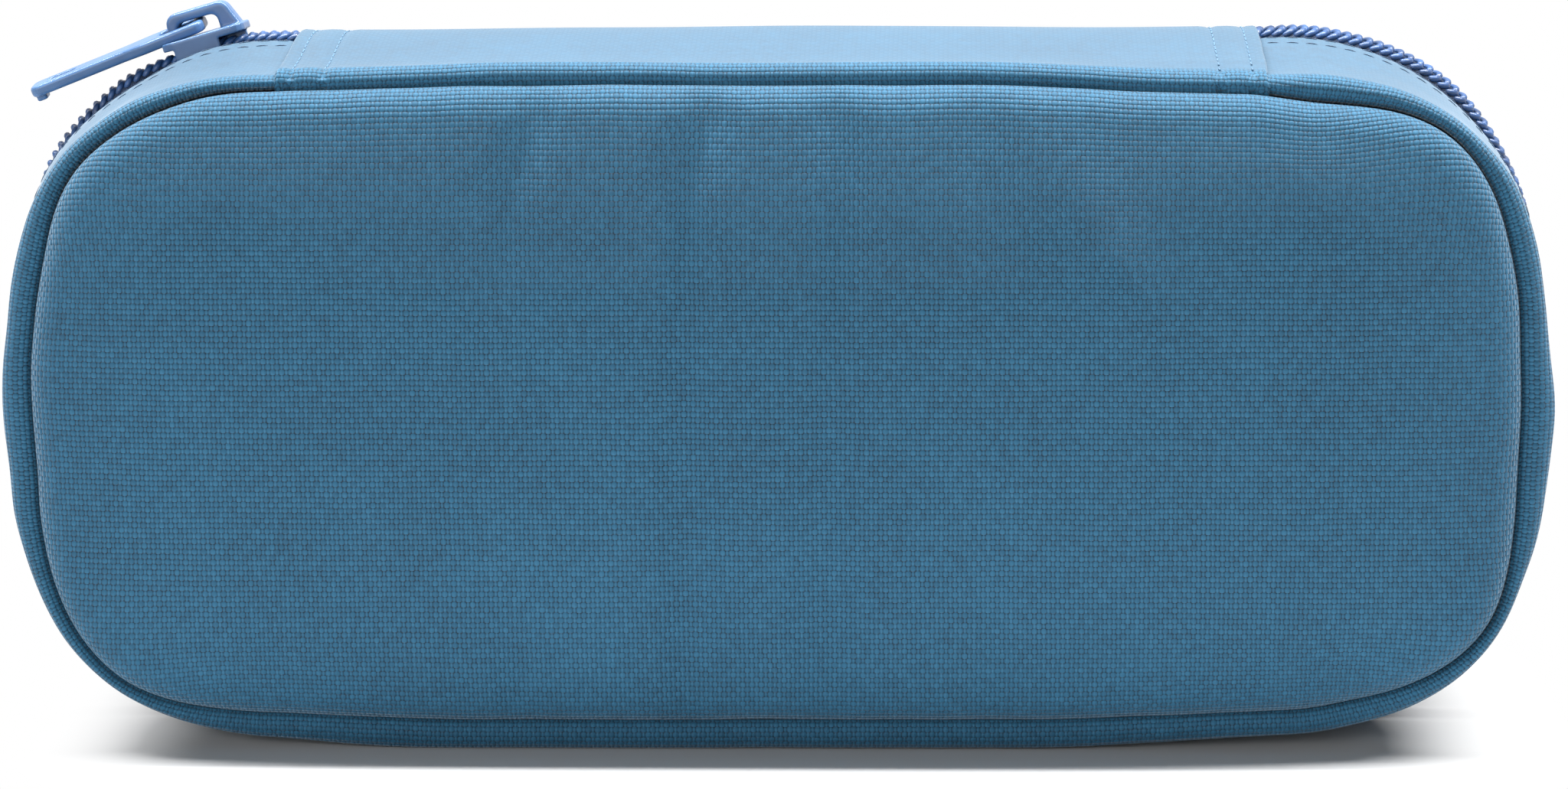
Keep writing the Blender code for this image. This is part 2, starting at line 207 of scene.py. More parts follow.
# x and z of the wall at these stations, at a distance from the zip plane and a depth below its surface
def wallPoints(stations, away, depth):
    share = np.clip((case["bandEnd"] - away) / (case["bandEnd"] - case["rim"]), 0.0, 1.0)
    low = case["bottomTuck"] * share + case["radius"]
    high = case["height"] + case["topLift"] * share - case["radius"]
    radius = case["radius"] - depth
    x = stations[:, 0] * case["reach"] + radius * stations[:, 2]
    z = low + (high - low) * (stations[:, 1] + 1) / 2 + radius * stations[:, 3]
    return x, z


# The same as points in space, on the front or the back half
def wallLoop(stations, away, depth, side):
    x, z = wallPoints(stations, away, depth)
    return np.stack([x, np.full(len(x), side * away), z], axis=1)


# Lengths along the zip, from under the panel's left end round to under its right end
def zipLengths(spacing):
    spare = case["reach"] - case["zipReach"]
    end = perimeter(0.0) - 2 * case["reach"] + spare
    count = int(round((end + spare) / spacing))
    return np.linspace(-spare, end, count + 1)


def lineLength(line):
    return float(np.linalg.norm(np.diff(np.array(line), axis=0), axis=1).sum())


def newMesh(name, points, edges, faces):
    mesh = bpy.data.meshes.new(name)
    mesh.from_pydata([tuple(point) for point in points], edges, faces)
    return mesh


# A closed mesh from points and faces, with the cloth's own flat place in metres as its UV map
def pieceFrom(name, points, faces, flat, material):
    mesh = newMesh(name, points, [], faces)
    layer = mesh.uv_layers.new(name="cloth")
    layer.data.foreach_set("uv", np.array(flat, dtype=np.float32).ravel())
    bm = bmesh.new()
    bm.from_mesh(mesh)
    bmesh.ops.recalc_face_normals(bm, faces=bm.faces[:])
    bm.to_mesh(mesh)
    bm.free()
    mesh.shade_smooth()
    return linkObject(name, mesh, material)


# Joins a grid of points, with rows across the cloth and columns along it. Open ends are capped.
# The rows' calmness says where the weave is pressed smooth.
def loft(name, grid, along, material, closedAlong=False, calm=None):
    rows, columns = grid.shape[:2]
    steps = np.linalg.norm(np.diff(grid, axis=0, append=grid[:1]), axis=2)
    across = np.concatenate([np.zeros((1, columns)), np.cumsum(steps, axis=0)])
    faces = []
    flat = []
    for row in range(rows):
        for column in range(columns if closedAlong else columns - 1):
            corners = ((row, column), (row, column + 1), (row + 1, column + 1), (row + 1, column))
            faces.append([r % rows * columns + c % columns for r, c in corners])
            flat.extend((along[c], across[r, c % columns]) for r, c in corners)
    if not closedAlong:
        for column in (0, columns - 1):
            faces.append([row * columns + column for row in range(rows)])
            flat.extend((along[column], across[row, column]) for row in range(rows))
    piece = pieceFrom(name, grid.reshape(-1, 3), faces, flat, material)
    if calm is not None:
        layer = piece.data.attributes.new("calm", "FLOAT", "POINT")
        layer.data.foreach_set("value", np.repeat(np.array(calm, dtype=np.float32), columns))
    return piece


# The body that a piece rides on, the nodes of the frame that it stands for, and its material slot, which is
# not used
def fit(piece, body, slot, *nodes):
    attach(piece, body)
    if nodes:
        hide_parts(*nodes)


# A socket of a shader or Geometry Nodes tree. Maths on it adds nodes to its tree.
class Wire:
    def __init__(self, tree, socket=None):
        self.tree = tree
        self.socket = socket

    # Any node: its settings and a ramp's stops are set first, then the values or links of its sockets
    def add(self, kind, inputs, output=0, stops=(), **settings):
        made = self.tree.nodes.new(kind)
        for key, value in settings.items():
            setattr(made, key, value)
        for place, colour in stops[1:-1]:
            made.color_ramp.elements.new(place)
        for index, (place, colour) in enumerate(stops):
            made.color_ramp.elements[index].position = place
            made.color_ramp.elements[index].color = (*colour, 1.0)
        for key, value in inputs.items():
            if isinstance(value, Wire):
                self.tree.links.new(value.socket, made.inputs[key])
            else:
                made.inputs[key].default_value = value
        return Wire(self.tree, made.outputs[output])

    def output(self, name):
        return Wire(self.tree, self.socket.node.outputs[name])

    def split(self):
        parts = self.add("ShaderNodeSeparateXYZ", {0: self})
        return parts.output("X"), parts.output("Y")

    # From 0 to 1 between two values, eased at both ends
    def eased(self, low, high):
        inputs = {"Value": self, "From Min": low, "From Max": high}
        return self.add("ShaderNodeMapRange", inputs, interpolation_type="SMOOTHSTEP")

    def vector(self, operation, *others, output=0):
        return self.add("ShaderNodeVectorMath", dict(enumerate((self, *others))), output, operation=operation)

    def scaled(self, size):
        return self.add("ShaderNodeVectorMath", {0: self, "Scale": size}, operation="SCALE")

    def maths(self, operation, *others):
        return self.add("ShaderNodeMath", dict(enumerate((self, *others))), operation=operation)

    def reflected(self, operation, other):
        return self.add("ShaderNodeMath", {0: other, 1: self}, operation=operation)

    def __add__(self, other):
        return self.maths("ADD", other)

    def __radd__(self, other):
        return self.reflected("ADD", other)

    def __sub__(self, other):
        return self.maths("SUBTRACT", other)

    def __rsub__(self, other):
        return self.reflected("SUBTRACT", other)

    def __mul__(self, other):
        return self.maths("MULTIPLY", other)

    def __rmul__(self, other):
        return self.reflected("MULTIPLY", other)

    def __truediv__(self, other):
        return self.maths("DIVIDE", other)

    def __rtruediv__(self, other):
        return self.reflected("DIVIDE", other)


def plug(wire, node, name):
    wire.tree.links.new(wire.socket, node.inputs[name])


# A new material: returns it, a wire to start from, and its shader with these values on its sockets
def newFinish(name, **sockets):
    material = bpy.data.materials.new(name)
    material.use_nodes = True
    shader = material.node_tree.nodes["Principled BSDF"]
    for key, value in sockets.items():
        shader.inputs[key.replace("_", " ")].default_value = value
    return material, Wire(material.node_tree), shader


# What changes over a surface: its colours by a shade from 0 to 1, its roughness and its relief
def dress(shader, shade, stops, roughness, height, relief):
    plug(shade.add("ShaderNodeValToRGB", {"Fac": shade}, stops=stops), shader, "Base Color")
    plug(roughness, shader, "Roughness")
    plug(height.add("ShaderNodeBump", {"Height": height, "Distance": relief}), shader, "Normal")


# Noise that sits still on the object
def noise(wire, scale, detail, output=0):
    place = wire.add("ShaderNodeTexCoord", {}, "Object")
    return wire.add("ShaderNodeTexNoise", {"Vector": place, "Scale": scale, "Detail": detail}, output)


def clothCoordinates(wire):
    return wire.add("ShaderNodeUVMap", {}, uv_map="cloth").split()


# A plain weave: height of the upper yarn, whether that is the warp, and a number for each row and crossing
def plainWeave(wire, look):
    along, across = clothCoordinates(wire)
    swayAlong, swayAcross = noise(wire, look["swayScale"], 1.0, "Color").split()
    column = along / look["warpPitch"] + (swayAlong - 0.5) * look["sway"]
    row = across / look["weftPitch"] + (swayAcross - 0.5) * look["sway"]
    columnCell = column.maths("FLOOR")
    rowCell = row.maths("FLOOR")
    columnSign = 1 - columnCell.maths("FLOORED_MODULO", 2.0) * 2
    rowSign = 1 - rowCell.maths("FLOORED_MODULO", 2.0) * 2
    weftWave = ((column - 0.5) * math.pi).maths("COSINE") * rowSign
    warpWave = ((row - 0.5) * math.pi).maths("COSINE") * columnSign * -1
    weftSide = (row - rowCell - 0.5) / look["weftWidth"]
    warpSide = (column - columnCell - 0.5) / look["warpWidth"]
    weft = weftWave * look["crimp"] + (1 - weftSide * weftSide) * 0.5 + look["weftProud"]
    warp = warpWave * look["crimp"] + (1 - warpSide * warpSide) * 0.5
    height = weft.maths("MAXIMUM", warp)
    warpOnTop = warp.maths("GREATER_THAN", weft)
    rowTone = wire.add("ShaderNodeTexWhiteNoise", {"W": rowCell}, "Value", noise_dimensions="1D")
    cell = wire.add("ShaderNodeCombineXYZ", {"X": columnCell, "Y": rowCell})
    cellTone = wire.add("ShaderNodeTexWhiteNoise", {"Vector": cell}, "Value", noise_dimensions="2D")
    return height, warpOnTop, rowTone, cellTone


# Woven polyester of the outside: thick weft beads with narrow, paler warp bars between them.
# The shades say how much each thing moves the colour, from 0 for deep to 1 for pale.
shellLook = {
    "warpPitch": 0.66 * mm,
    "weftPitch": 0.765 * mm,
    "warpWidth": 0.34,
    "weftWidth": 0.54,
    "crimp": 0.5,
    "weftProud": 0.25,
    "sway": 0.45,
    "swayScale": 90.0,
    "cloudScale": 55.0,
    "fleckScale": 900.0,
    "relief": 0.20 * mm,
    "fuzz": 0.2,               # share of the flecks in the relief
    # yarn heights over which the colour goes from painted shade in the gaps to the yarn's own tone
    "hollow": (0.20, 0.85),    # heights between which the yarn comes out of the dark gaps
    "calm": 0.90,              # how much of the weave is lost where it is pressed smooth
    "leastShade": 0.04,
    "yarnShade": 0.44,
    "calmYarn": 0.52,          # the yarn's height where it is pressed smooth, for its shade
    "warpShade": 0.08,
    "rowShade": 0.03,
    "cellShade": 0.13,
    "cloudShade": 0.14,
    "fleckShade": 0.20,
    "roughness": 0.72,
    "warpGloss": 0.08,
    "calmGloss": 0.12,
    "fleckRoughness": 0.12,
    "calmCoat": 0.62,
    "deep": (0.002, 0.014, 0.030),
    "middle": (0.013, 0.088, 0.163),
    "pale": (0.040, 0.165, 0.285),
}


def shellCloth():
    look = shellLook
    material, wire, shader = newFinish(
        "shell_cloth",
        Sheen_Weight=0.26,
        Sheen_Roughness=0.4,
        Sheen_Tint=(0.80, 0.90, 1.0, 1.0),
        Specular_IOR_Level=0.3,
        Coat_Roughness=0.62,
    )
    height, warpOnTop, rowTone, cellTone = plainWeave(wire, look)
    cloud = noise(wire, look["cloudScale"], 3.0) - 0.5
    fleck = noise(wire, look["fleckScale"], 2.0) - 0.5
    calm = wire.add("ShaderNodeAttribute", {}, "Fac", attribute_name="calm") * look["calm"]
    kept = 1 - calm
    shade = (
        # low parts of the weave get the deep colour: painted shade in the gaps between the yarns
        (height.eased(*look["hollow"]) * kept + calm * look["calmYarn"]) * look["yarnShade"]
        + warpOnTop * kept * look["warpShade"]
        + (rowTone - 0.5) * look["rowShade"]
        + (cellTone - 0.5) * kept * look["cellShade"]
        + cloud * look["cloudShade"]
        + fleck * look["fleckShade"]
        + look["leastShade"]
    )
    stops = ((0.0, look["deep"]), (0.5, look["middle"]), (1.0, look["pale"]))
    gloss = warpOnTop * look["warpGloss"] + calm * look["calmGloss"]
    roughness = look["roughness"] - gloss + fleck * look["fleckRoughness"]
    dress(shader, shade, stops, roughness, height * kept + fleck * look["fuzz"], look["relief"])
    plug(calm * look["calmCoat"], shader, "Coat Weight")
    return material


# Fine satin-backed lining
liningLook = {
    "warpPitch": 0.34 * mm,
    "weftPitch": 0.40 * mm,
    "warpWidth": 0.45,
    "weftWidth": 0.52,
    "crimp": 0.5,
    "weftProud": 0.0,
    "sway": 0.5,
    "swayScale": 90.0,
    "cloudScale": 40.0,
    "relief": 0.05 * mm,
    "yarnShade": 0.6,
    "warpShade": 0.15,
    "rowShade": 0.15,
    "cloudShade": 0.3,
    "roughness": (0.5, 0.2),   # least, and what the clouds add
    "deep": (0.008, 0.016, 0.032),
    "pale": (0.040, 0.075, 0.125),
}


def liningCloth():
    look = liningLook
    material, wire, shader = newFinish("lining_cloth", Sheen_Weight=0.2, Sheen_Roughness=0.4)
    height, warpOnTop, rowTone = plainWeave(wire, look)[:3]
    cloud = noise(wire, look["cloudScale"], 3.0)
    shade = (
        # the yarn's height sets its tone, so the gaps between yarns get painted shade
        height * look["yarnShade"]
        + warpOnTop * look["warpShade"]
        + (rowTone - 0.5) * look["rowShade"]
        + (cloud - 0.5) * look["cloudShade"]
    )
    stops = ((0.0, look["deep"]), (1.0, look["pale"]))
    least, more = look["roughness"]
    dress(shader, shade, stops, least + cloud * more, height, look["relief"])
    return material


# Ribbed binding, and the zip's herringbone tape
ribLook = {
    "fleckScale": 700.0,
    "leastShade": 0.1,
    "ribShade": 0.7,
    "fleckShade": 0.5,
    "roughness": (0.65, 0.2),
    "fuzz": 0.4,
}
bindingLook = {
    **ribLook,
    "rib": 0.55 * mm,
    "relief": 0.10 * mm,
    "deep": (0.006, 0.014, 0.028),
    "pale": (0.032, 0.065, 0.115),
}
tapeLook = {
    **ribLook,
    "rib": 0.42 * mm,
    "chevron": 1.9 * mm,
    "relief": 0.05 * mm,
    "deep": (0.003, 0.008, 0.022),
    "pale": (0.013, 0.032, 0.080),
}


def ribbedCloth(name, look):
    material, wire, shader = newFinish(name, Sheen_Weight=0.05, Sheen_Roughness=0.5, Specular_IOR_Level=0.2)
    along, across = clothCoordinates(wire)
    fleck = noise(wire, look["fleckScale"], 2.0)
    if "chevron" in look:
        along = along + (across / look["chevron"]).maths("PINGPONG", 1.0) * look["chevron"]
    rib = (along * (2 * math.pi / look["rib"])).maths("SINE") * 0.5 + 0.5
    # crests of the ribs are pale and the grooves deep: painted shade in the grooves
    shade = rib * look["ribShade"] + (fleck - 0.5) * look["fleckShade"] + look["leastShade"]
    stops = ((0.0, look["deep"]), (1.0, look["pale"]))
    least, more = look["roughness"]
    dress(shader, shade, stops, least + fleck * more, rib + fleck * look["fuzz"], look["relief"])
    return material


# Plain finishes: the noise that clouds the colour and that of the fine grain, each by scale and detail,
# and the part of the clouds' range over which the colour goes from deep to pale
coilLook = {
    "cloud": (260.0, 3.0),
    "grain": (260.0, 3.0),
    "range": (0.25, 0.75),
    "roughness": (0.30, 0.2),
    "relief": 0.04 * mm,
    "deep": (0.006, 0.022, 0.070),
    "pale": (0.024, 0.085, 0.240),
}
navyThread = {
    "cloud": (2400.0, 1.0),
    "grain": (2400.0, 1.0),
    "range": (0.25, 0.75),
    "roughness": (0.5, 0.3),
    "relief": 0.05 * mm,
    "deep": (0.008, 0.028, 0.065),
    "pale": (0.026, 0.075, 0.150),
}
blueThread = {**navyThread, "deep": (0.018, 0.080, 0.150), "pale": (0.048, 0.150, 0.260)}
enamelLook = {
    "cloud": (160.0, 3.0),
    "grain": (900.0, 2.0),
    "range": (0.2, 0.8),
    "roughness": (0.26, 0.18),
    "relief": 0.02 * mm,
    "deep": (0.033, 0.086, 0.198),
    "pale": (0.066, 0.146, 0.300),
}


def plainFinish(name, look, **sockets):
    material, wire, shader = newFinish(name, **sockets)
    grain = noise(wire, *look["grain"])
    stops = tuple(zip(look["range"], (look["deep"], look["pale"])))
    least, more = look["roughness"]
    dress(shader, noise(wire, *look["cloud"]), stops, least + grain * more, grain, look["relief"])
    return material


finishes = {
    "shell": shellCloth(),
    "lining": liningCloth(),
    "binding": ribbedCloth("binding_rib", bindingLook),
    "tape": ribbedCloth("tape_herringbone", tapeLook),
    "coil": plainFinish("coil_nylon", coilLook, Specular_IOR_Level=0.5),
    "thread": plainFinish("navy_thread", navyThread, Sheen_Weight=0.2),
    "paleThread": plainFinish("blue_thread", blueThread, Sheen_Weight=0.2),
    "enamel": plainFinish(
        "cast_enamel", enamelLook, Specular_IOR_Level=0.35, Coat_Weight=0.2, Coat_Roughness=0.2
    ),
}
print("finishes made:", len(finishes))


# Small, even waves that sewn cloth takes along a seam
rippleLook = {
    "waves": ((41.0, 1.0), (27.0, 0.8), (17.0, 0.6), (11.0, 0.35)),   # length in mm, and share
    "size": 0.08 * mm,
    "seedTurn": 1.7,
    "waveTurn": 2.1,
    "seamShare": 0.5,
    "underShare": 0.25,        # what is left of them underneath
    "seed": {-1: 0.0, 1: 3.0},   # of the front and the back half
}


def ripple(lengths, seed):
    look = rippleLook
    total = np.zeros(len(lengths))
    for index, (length, size) in enumerate(look["waves"]):
        turn = seed * look["seedTurn"] + index * look["waveTurn"]
        total += size * np.sin(2 * math.pi * lengths / (length * mm) + turn)
    return total * look["size"]


# How the cloth walls lie: a soft tube beside the face seam, then a band that rises to the zip.
# Pairs are the distance from the zip plane at which something starts, and the run over which it grows.
wallLook = {
    "groove": 25.4 * mm,       # the seam, sunk behind the tube
    "grooveDepth": 5.0 * mm,
    "creaseDepth": 3.75 * mm,
    "tubeCentre": 25.0 * mm,
    "tubeFront": 2.1 * mm,
    "tubeFrom": -38.0,         # degrees round the tube at which it leaves the crease
    "tubeSteps": 11,
    "bandSteps": 12,
    "bandDip": 0.25 * mm,
    "dipSoon": 5.0,            # the dip is whole after one part in this many of the band
    "drawHeld": 0.35,          # how much longer than evenly the band keeps the tube's draw
    "cloth": 0.9 * mm,
    "foldRound": 0.55 * mm,
    "foldSteps": 6,
    "spacing": 1.3 * mm,
    "rimDrawn": (20.0 * mm, 12.0 * mm),
    "coilDrawnOver": 2.0 * mm,
    "pressed": 1.0 * mm,       # the zip's ends lie pressed flat under the panel
    "pressedFrom": (18.0 * mm, 8.0 * mm),
    "pressedPast": (0.5 * mm, 2.5 * mm),      # past the panel's ends, and the run back from there
    "calmFrom": (25.2 * mm, 1.2 * mm),
}


# Steps up the soft tube beside a seam: distance from the zip plane, and share of its rise
def tubeRise(look):
    start = math.radians(look["tubeFrom"])
    low = math.sin(start)
    steps = []
    for step in range(look["tubeSteps"] + 1):
        angle = start + (math.pi / 2 - start) * step / look["tubeSteps"]
        away = look["tubeCentre"] + look["tubeFront"] * math.cos(angle)
        steps.append((away, (math.sin(angle) - low) / (1 - low)))
    return steps


# Section of the wall's outer face, from the seam to the zip: distance, depth, and shares of how far the seam
# and the tube are drawn in
def wallOutside():
    look = wallLook
    rows = [(look["groove"], look["grooveDepth"], 1.0, 0.0)]
    for away, rise in tubeRise(look):
        rows.append((away, look["creaseDepth"] * (1 - rise), 1 - rise, rise))
    last = case["rim"] + look["foldRound"]
    for step in range(1, look["bandSteps"] + 1):
        share = step / look["bandSteps"]
        away = look["tubeCentre"] + (last - look["tubeCentre"]) * share
        dip = look["bandDip"] * float(smooth(share * look["dipSoon"])) * (1 - share)
        rows.append((away, dip, 0.0, (1 - share) * (1 + look["drawHeld"] * share)))
    return rows


# The whole closed section: outside, the fold at the zip, and the inside as far as the crease
def wallSection():
    look = wallLook
    outside = wallOutside()
    fold = []
    for step in range(1, look["foldSteps"]):
        angle = math.pi * step / look["foldSteps"]
        away = case["rim"] + look["foldRound"] * (1 - math.sin(angle))
        fold.append((away, look["foldRound"] * (1 - math.cos(angle)), 0.0, 0.0))
    inside = []
    for away, depth, seam, tube in outside[:2:-1]:
        inside.append((min(away, look["groove"]), depth + look["cloth"], seam, tube))
    return outside + fold + inside


# How far the panel presses the zip's ends down. Stations that don't face up are put out of its reach.
def pressedDown(stations):
    past, over = wallLook["pressedPast"]
    under = np.abs(stations[:, 0]) * case["reach"] + 1 - np.clip(stations[:, 3], 0, 1)
    return wallLook["pressed"] * easedIn(under, case["panelHalf"] + past, over)


def wallGrid(section, lengths, side, seed):
    look = wallLook
    stations = stationsAt(lengths, 0.0)
    least = rippleLook["underShare"]
    waves = ripple(lengths, seed) * (least + (1 - least) * np.clip(stations[:, 3] + 1, 0, 1))
    seamIn = drawnIn(seamDraw, stations) + waves * rippleLook["seamShare"]
    tubeIn = drawnIn(tubeDraw, stations) + waves
    rimIn = drawnIn(rimDraw, stations)
    coilIn = drawnIn(coilDraw, stations) * coilShare[side]
    pressed = pressedDown(stations)
    grid = []
    for away, depth, seam, tube in section:
        zipIn = rimIn + (coilIn - rimIn) * easedIn(away, case["rim"], look["coilDrawnOver"])
        drawn = seamIn * seam + tubeIn * tube + zipIn * easedIn(away, *look["rimDrawn"])
        points = wallLoop(stations, away, depth + drawn, side)
        points[:, 2] -= pressed * easedIn(away, *look["pressedFrom"])
        grid.append(points)
    return np.array(grid)


# The weave is pressed smooth on the bands between the tube and the zip
def bandCalm(away):
    return float(easedIn(away, *wallLook["calmFrom"]))


def makeWall(prefix, side):
    lengths = zipLengths(wallLook["spacing"])
    section = wallSection()
    grid = wallGrid(section, lengths, side, rippleLook["seed"][side])
    calm = [bandCalm(row[0]) for row in section]
    wall = loft(f"{prefix}_wall_cover", grid, lengths, finishes["shell"], calm=calm)
    fit(wall, f"{prefix}_half", "shell_fabric", f"{prefix}_gusset_fabric", f"{prefix}_gusset_foam")


for prefix, side in halves:
    makeWall(prefix, side)
print("walls lofted")


# The padded faces: rings that roll in from the seam, and a patch that fills the middle
faceLook = {
    "columns": 92,
    "rows": 32,
    "groove": ((25.4 * mm, 5.3 * mm), (26.2 * mm, 4.8 * mm)),
    "edgeAway": 26.7 * mm,
    "edgeDepth": 4.4 * mm,
    "roll": (3.4 * mm, 2.7 * mm),      # width and height of the small roll at the seam,
    "slope": (22.0 * mm, 2.6 * mm),    # and of the slow rise behind it
    "ringPlaces": (0.0, 0.12, 0.4, 1.0, 2.0, 3.4, 4.2, 5.4, 7.4, 9.8, 12.4, 15.4, 18.6, 22.0),
    "evenDepth": 17.0 * mm,            # where the points are spaced evenly
    "crown": 1.2 * mm,
    "foldShare": {-1: 1.2, 1: 0.4},    # how strongly the front and the back are folded
    "back": 27.5 * mm,
}
# Faint upright folds in the cloth: strength and width, then height, place and share at points down the fold
faceFolds = (
    (0.9 * mm, 3.0 * mm, ((92, -33, 1.0), (80, -38, 0.7), (62, -40, 0.0), (30, -38, 0.0), (8, -36, 0.6))),
    (1.2 * mm, 3.4 * mm, ((92, -9, 1.0), (80, -13, 0.7), (64, -12, 0.6), (8, -12, 0.9))),
    (1.0 * mm, 3.4 * mm, ((92, 9, 1.0), (84, 10, 0.5), (60, 9, 0.4), (36, 8, 0.8), (8, 8, 0.8))),
    (0.7 * mm, 3.6 * mm, ((94, 30, 1.0), (84, 30, 0.5), (68, 32, 0.0), (8, 32, 0.4))),
    (-0.6 * mm, 6.0 * mm, ((92, 40, 0.2), (72, 48, 1.0), (50, 56, 0.0), (0, 56, 0.0))),
)
# The cover's cloth, for its simulation
clothLook = {
    "enlarged": 10.0,          # it is simulated larger than life, which is steadier
    "frames": 20,
    "sewnRings": 3,
    "pressure": 0.06,
    "cap": 0.9 * mm,
    "settings": {
        "quality": 6,
        "mass": 0.3,
        "air_damping": 4.0,
        "tension_stiffness": 40.0,
        "compression_stiffness": 40.0,
        "shear_stiffness": 12.0,
        "bending_stiffness": 6.0,
        "shrink_min": -0.0001,     # the cloth is longer than the padding by this share
    },
}


# The rings' sections: distance from the zip plane, and depth
def faceRings():
    look = faceLook
    rings = [*look["groove"]]
    for place in look["ringPlaces"]:
        rolled = 1 - min(place * mm / look["roll"][0], 1.0)
        sloped = 1 - place * mm / look["slope"][0]
        rise = look["roll"][1] * math.sqrt(1 - rolled**2) + look["slope"][1] * (1 - sloped**2)
        rings.append((look["edgeAway"] + rise, look["edgeDepth"] + place * mm))
    return rings


# Stations from the middle of the top left corner: rows down each side, columns along the bottom and the top
def faceStations(depth, rows, columns):
    quarter = (case["radius"] - depth) * math.pi / 2
    start = quarter / 2
    lengths = []
    for run, count in ((quarter + case["side"], rows), (quarter + 2 * case["reach"], columns)) * 2:
        lengths.extend(start + run * i / count for i in range(count))
        start += run
    return stationsAt(np.array(lengths), depth)


# Middle points of a smooth patch that fills a loop, whose corners lie on the outline's corners
def fillPatch(loop, rows, columns):
    left = loop[:rows + 1]
    bottom = loop[rows:rows + columns + 1]
    right = loop[rows + columns:2 * rows + columns + 1][::-1]
    top = np.concatenate([loop[2 * rows + columns:], loop[:1]])[::-1]
    v = np.linspace(0, 1, rows + 1)[:, None, None]
    u = np.linspace(0, 1, columns + 1)[None, :, None]
    sides = (1 - v) * top[None] + v * bottom[None] + (1 - u) * left[:, None] + u * right[:, None]
    corners = (
        (1 - u) * (1 - v) * loop[0]
        + (1 - u) * v * loop[rows]
        + u * v * loop[rows + columns]
        + u * (1 - v) * loop[2 * rows + columns]
    )
    return (sides - corners)[1:-1, 1:-1].reshape(-1, loop.shape[1])


# Faces of such a patch: its rim is the loop whose points are numbered from start, and its middle follows them
def patchFaces(start, rows, columns):
    count = 2 * (rows + columns)
    numbers = np.zeros((rows + 1, columns + 1), dtype=int)
    numbers[1:-1, 1:-1] = count + np.arange((rows - 1) * (columns - 1)).reshape(rows - 1, columns - 1)
    numbers[:, 0] = np.arange(rows + 1)
    numbers[-1, :] = rows + np.arange(columns + 1)
    numbers[:, -1] = rows + columns + np.arange(rows + 1)[::-1]
    numbers[0, :] = (2 * rows + columns + np.arange(columns + 1)[::-1]) % count
    table = (numbers + start).tolist()
    return [
        (table[r][c], table[r][c + 1], table[r + 1][c + 1], table[r + 1][c])
        for r in range(rows)
        for c in range(columns)
    ]


# Faces between two loops of points
def ringFaces(first, second, count):
    return [
        (first + i, first + (i + 1) % count, second + (i + 1) % count, second + i) for i in range(count)
    ]


# Faces of a closed pad: its cover, from the first ring in to the patch, and the loop and patch behind it
def padFaces(ringCount, rows, columns):
    count = 2 * (rows + columns)
    last = (ringCount - 1) * count
    cover = []
    for start in range(0, last, count):
        cover.extend(ringFaces(start, start + count, count))
    cover.extend(patchFaces(last, rows, columns))
    back = last + count + (rows - 1) * (columns - 1)
    return cover, ringFaces(back, 0, count) + patchFaces(back, rows, columns)


def padFrom(name, points, faces, flat, finish):
    pad = pieceFrom(name, points, faces, flat[np.array(faces)], finishes[finish])
    finer = pad.modifiers.new("finer", "SUBSURF")
    finer.levels = finer.render_levels = 1
    return pad


# How far each point lies up the roll from the seam to the face, from 0 to 1
def faceShare(points):
    rise = faceLook["roll"][1] + faceLook["slope"][1]
    return smooth((np.abs(points[:, 1]) - faceLook["edgeAway"]) / rise)


def crownFace(points, side):
    across = points[:, 0] / case["halfWidth"]
    up = (points[:, 2] - case["height"] / 2) / (case["height"] / 2)
    lift = faceLook["crown"] * np.clip(1 - across**2, 0, 1) * np.clip(1 - up**2, 0, 1)
    moved = points.copy()
    moved[:, 1] += side * lift * faceShare(points)
    return moved


# Lets the cover settle as cloth over its padding: the padding presses it out, the sewn edge holds it, and the
# cloth wrinkles where it has more length than it needs
def settleCloth(points, faces, sewnCount, side):
    look = clothLook
    trial = linkObject("settling", newMesh("settling", points * look["enlarged"], [], faces))
    trial.vertex_groups.new(name="sewn").add(list(range(sewnCount)), 1.0, "REPLACE")
    cloth = trial.modifiers.new("cloth", "CLOTH")
    for key, value in look["settings"].items():
        setattr(cloth.settings, key, value)
    cloth.settings.vertex_group_mass = "sewn"
    cloth.settings.use_pressure = True
    cloth.settings.uniform_pressure_force = look["pressure"] * side   # the trial's faces all look towards +Y
    cloth.settings.effector_weights.gravity = 0.0
    cloth.point_cache.frame_start = 1
    cloth.point_cache.frame_end = look["frames"]
    for step in range(1, look["frames"] + 1):
        bpy.context.scene.frame_set(step)
    made = trial.evaluated_get(bpy.context.evaluated_depsgraph_get()).to_mesh()
    settled = np.zeros(len(points) * 3)
    made.vertices.foreach_get("co", settled)
    moved = settled.reshape(-1, 3) / look["enlarged"] - points
    bpy.data.objects.remove(trial)
    bpy.context.scene.frame_set(1)
    length = np.linalg.norm(moved, axis=1)
    mean, most = (round(float(size) / mm, 3) for size in (length.mean(), length.max()))
    print("cloth settled: mean", mean, "most", most, "mm")
    eased = look["cap"] * np.tanh(length / look["cap"])
    return points + moved * (eased / np.maximum(length, 1e-9))[:, None]


def foldFace(points, side):
    moved = points.copy()
    for size, width, places in faceFolds:
        heights, across, shares = np.array(places[::-1]).T
        height = points[:, 2] / mm
        apart = points[:, 0] * -side - np.interp(height, heights, across) * mm
        sunk = size * faceLook["foldShare"][side] * bell(apart, width) * np.interp(height, heights, shares)
        moved[:, 1] -= side * sunk * faceShare(points)
    return moved


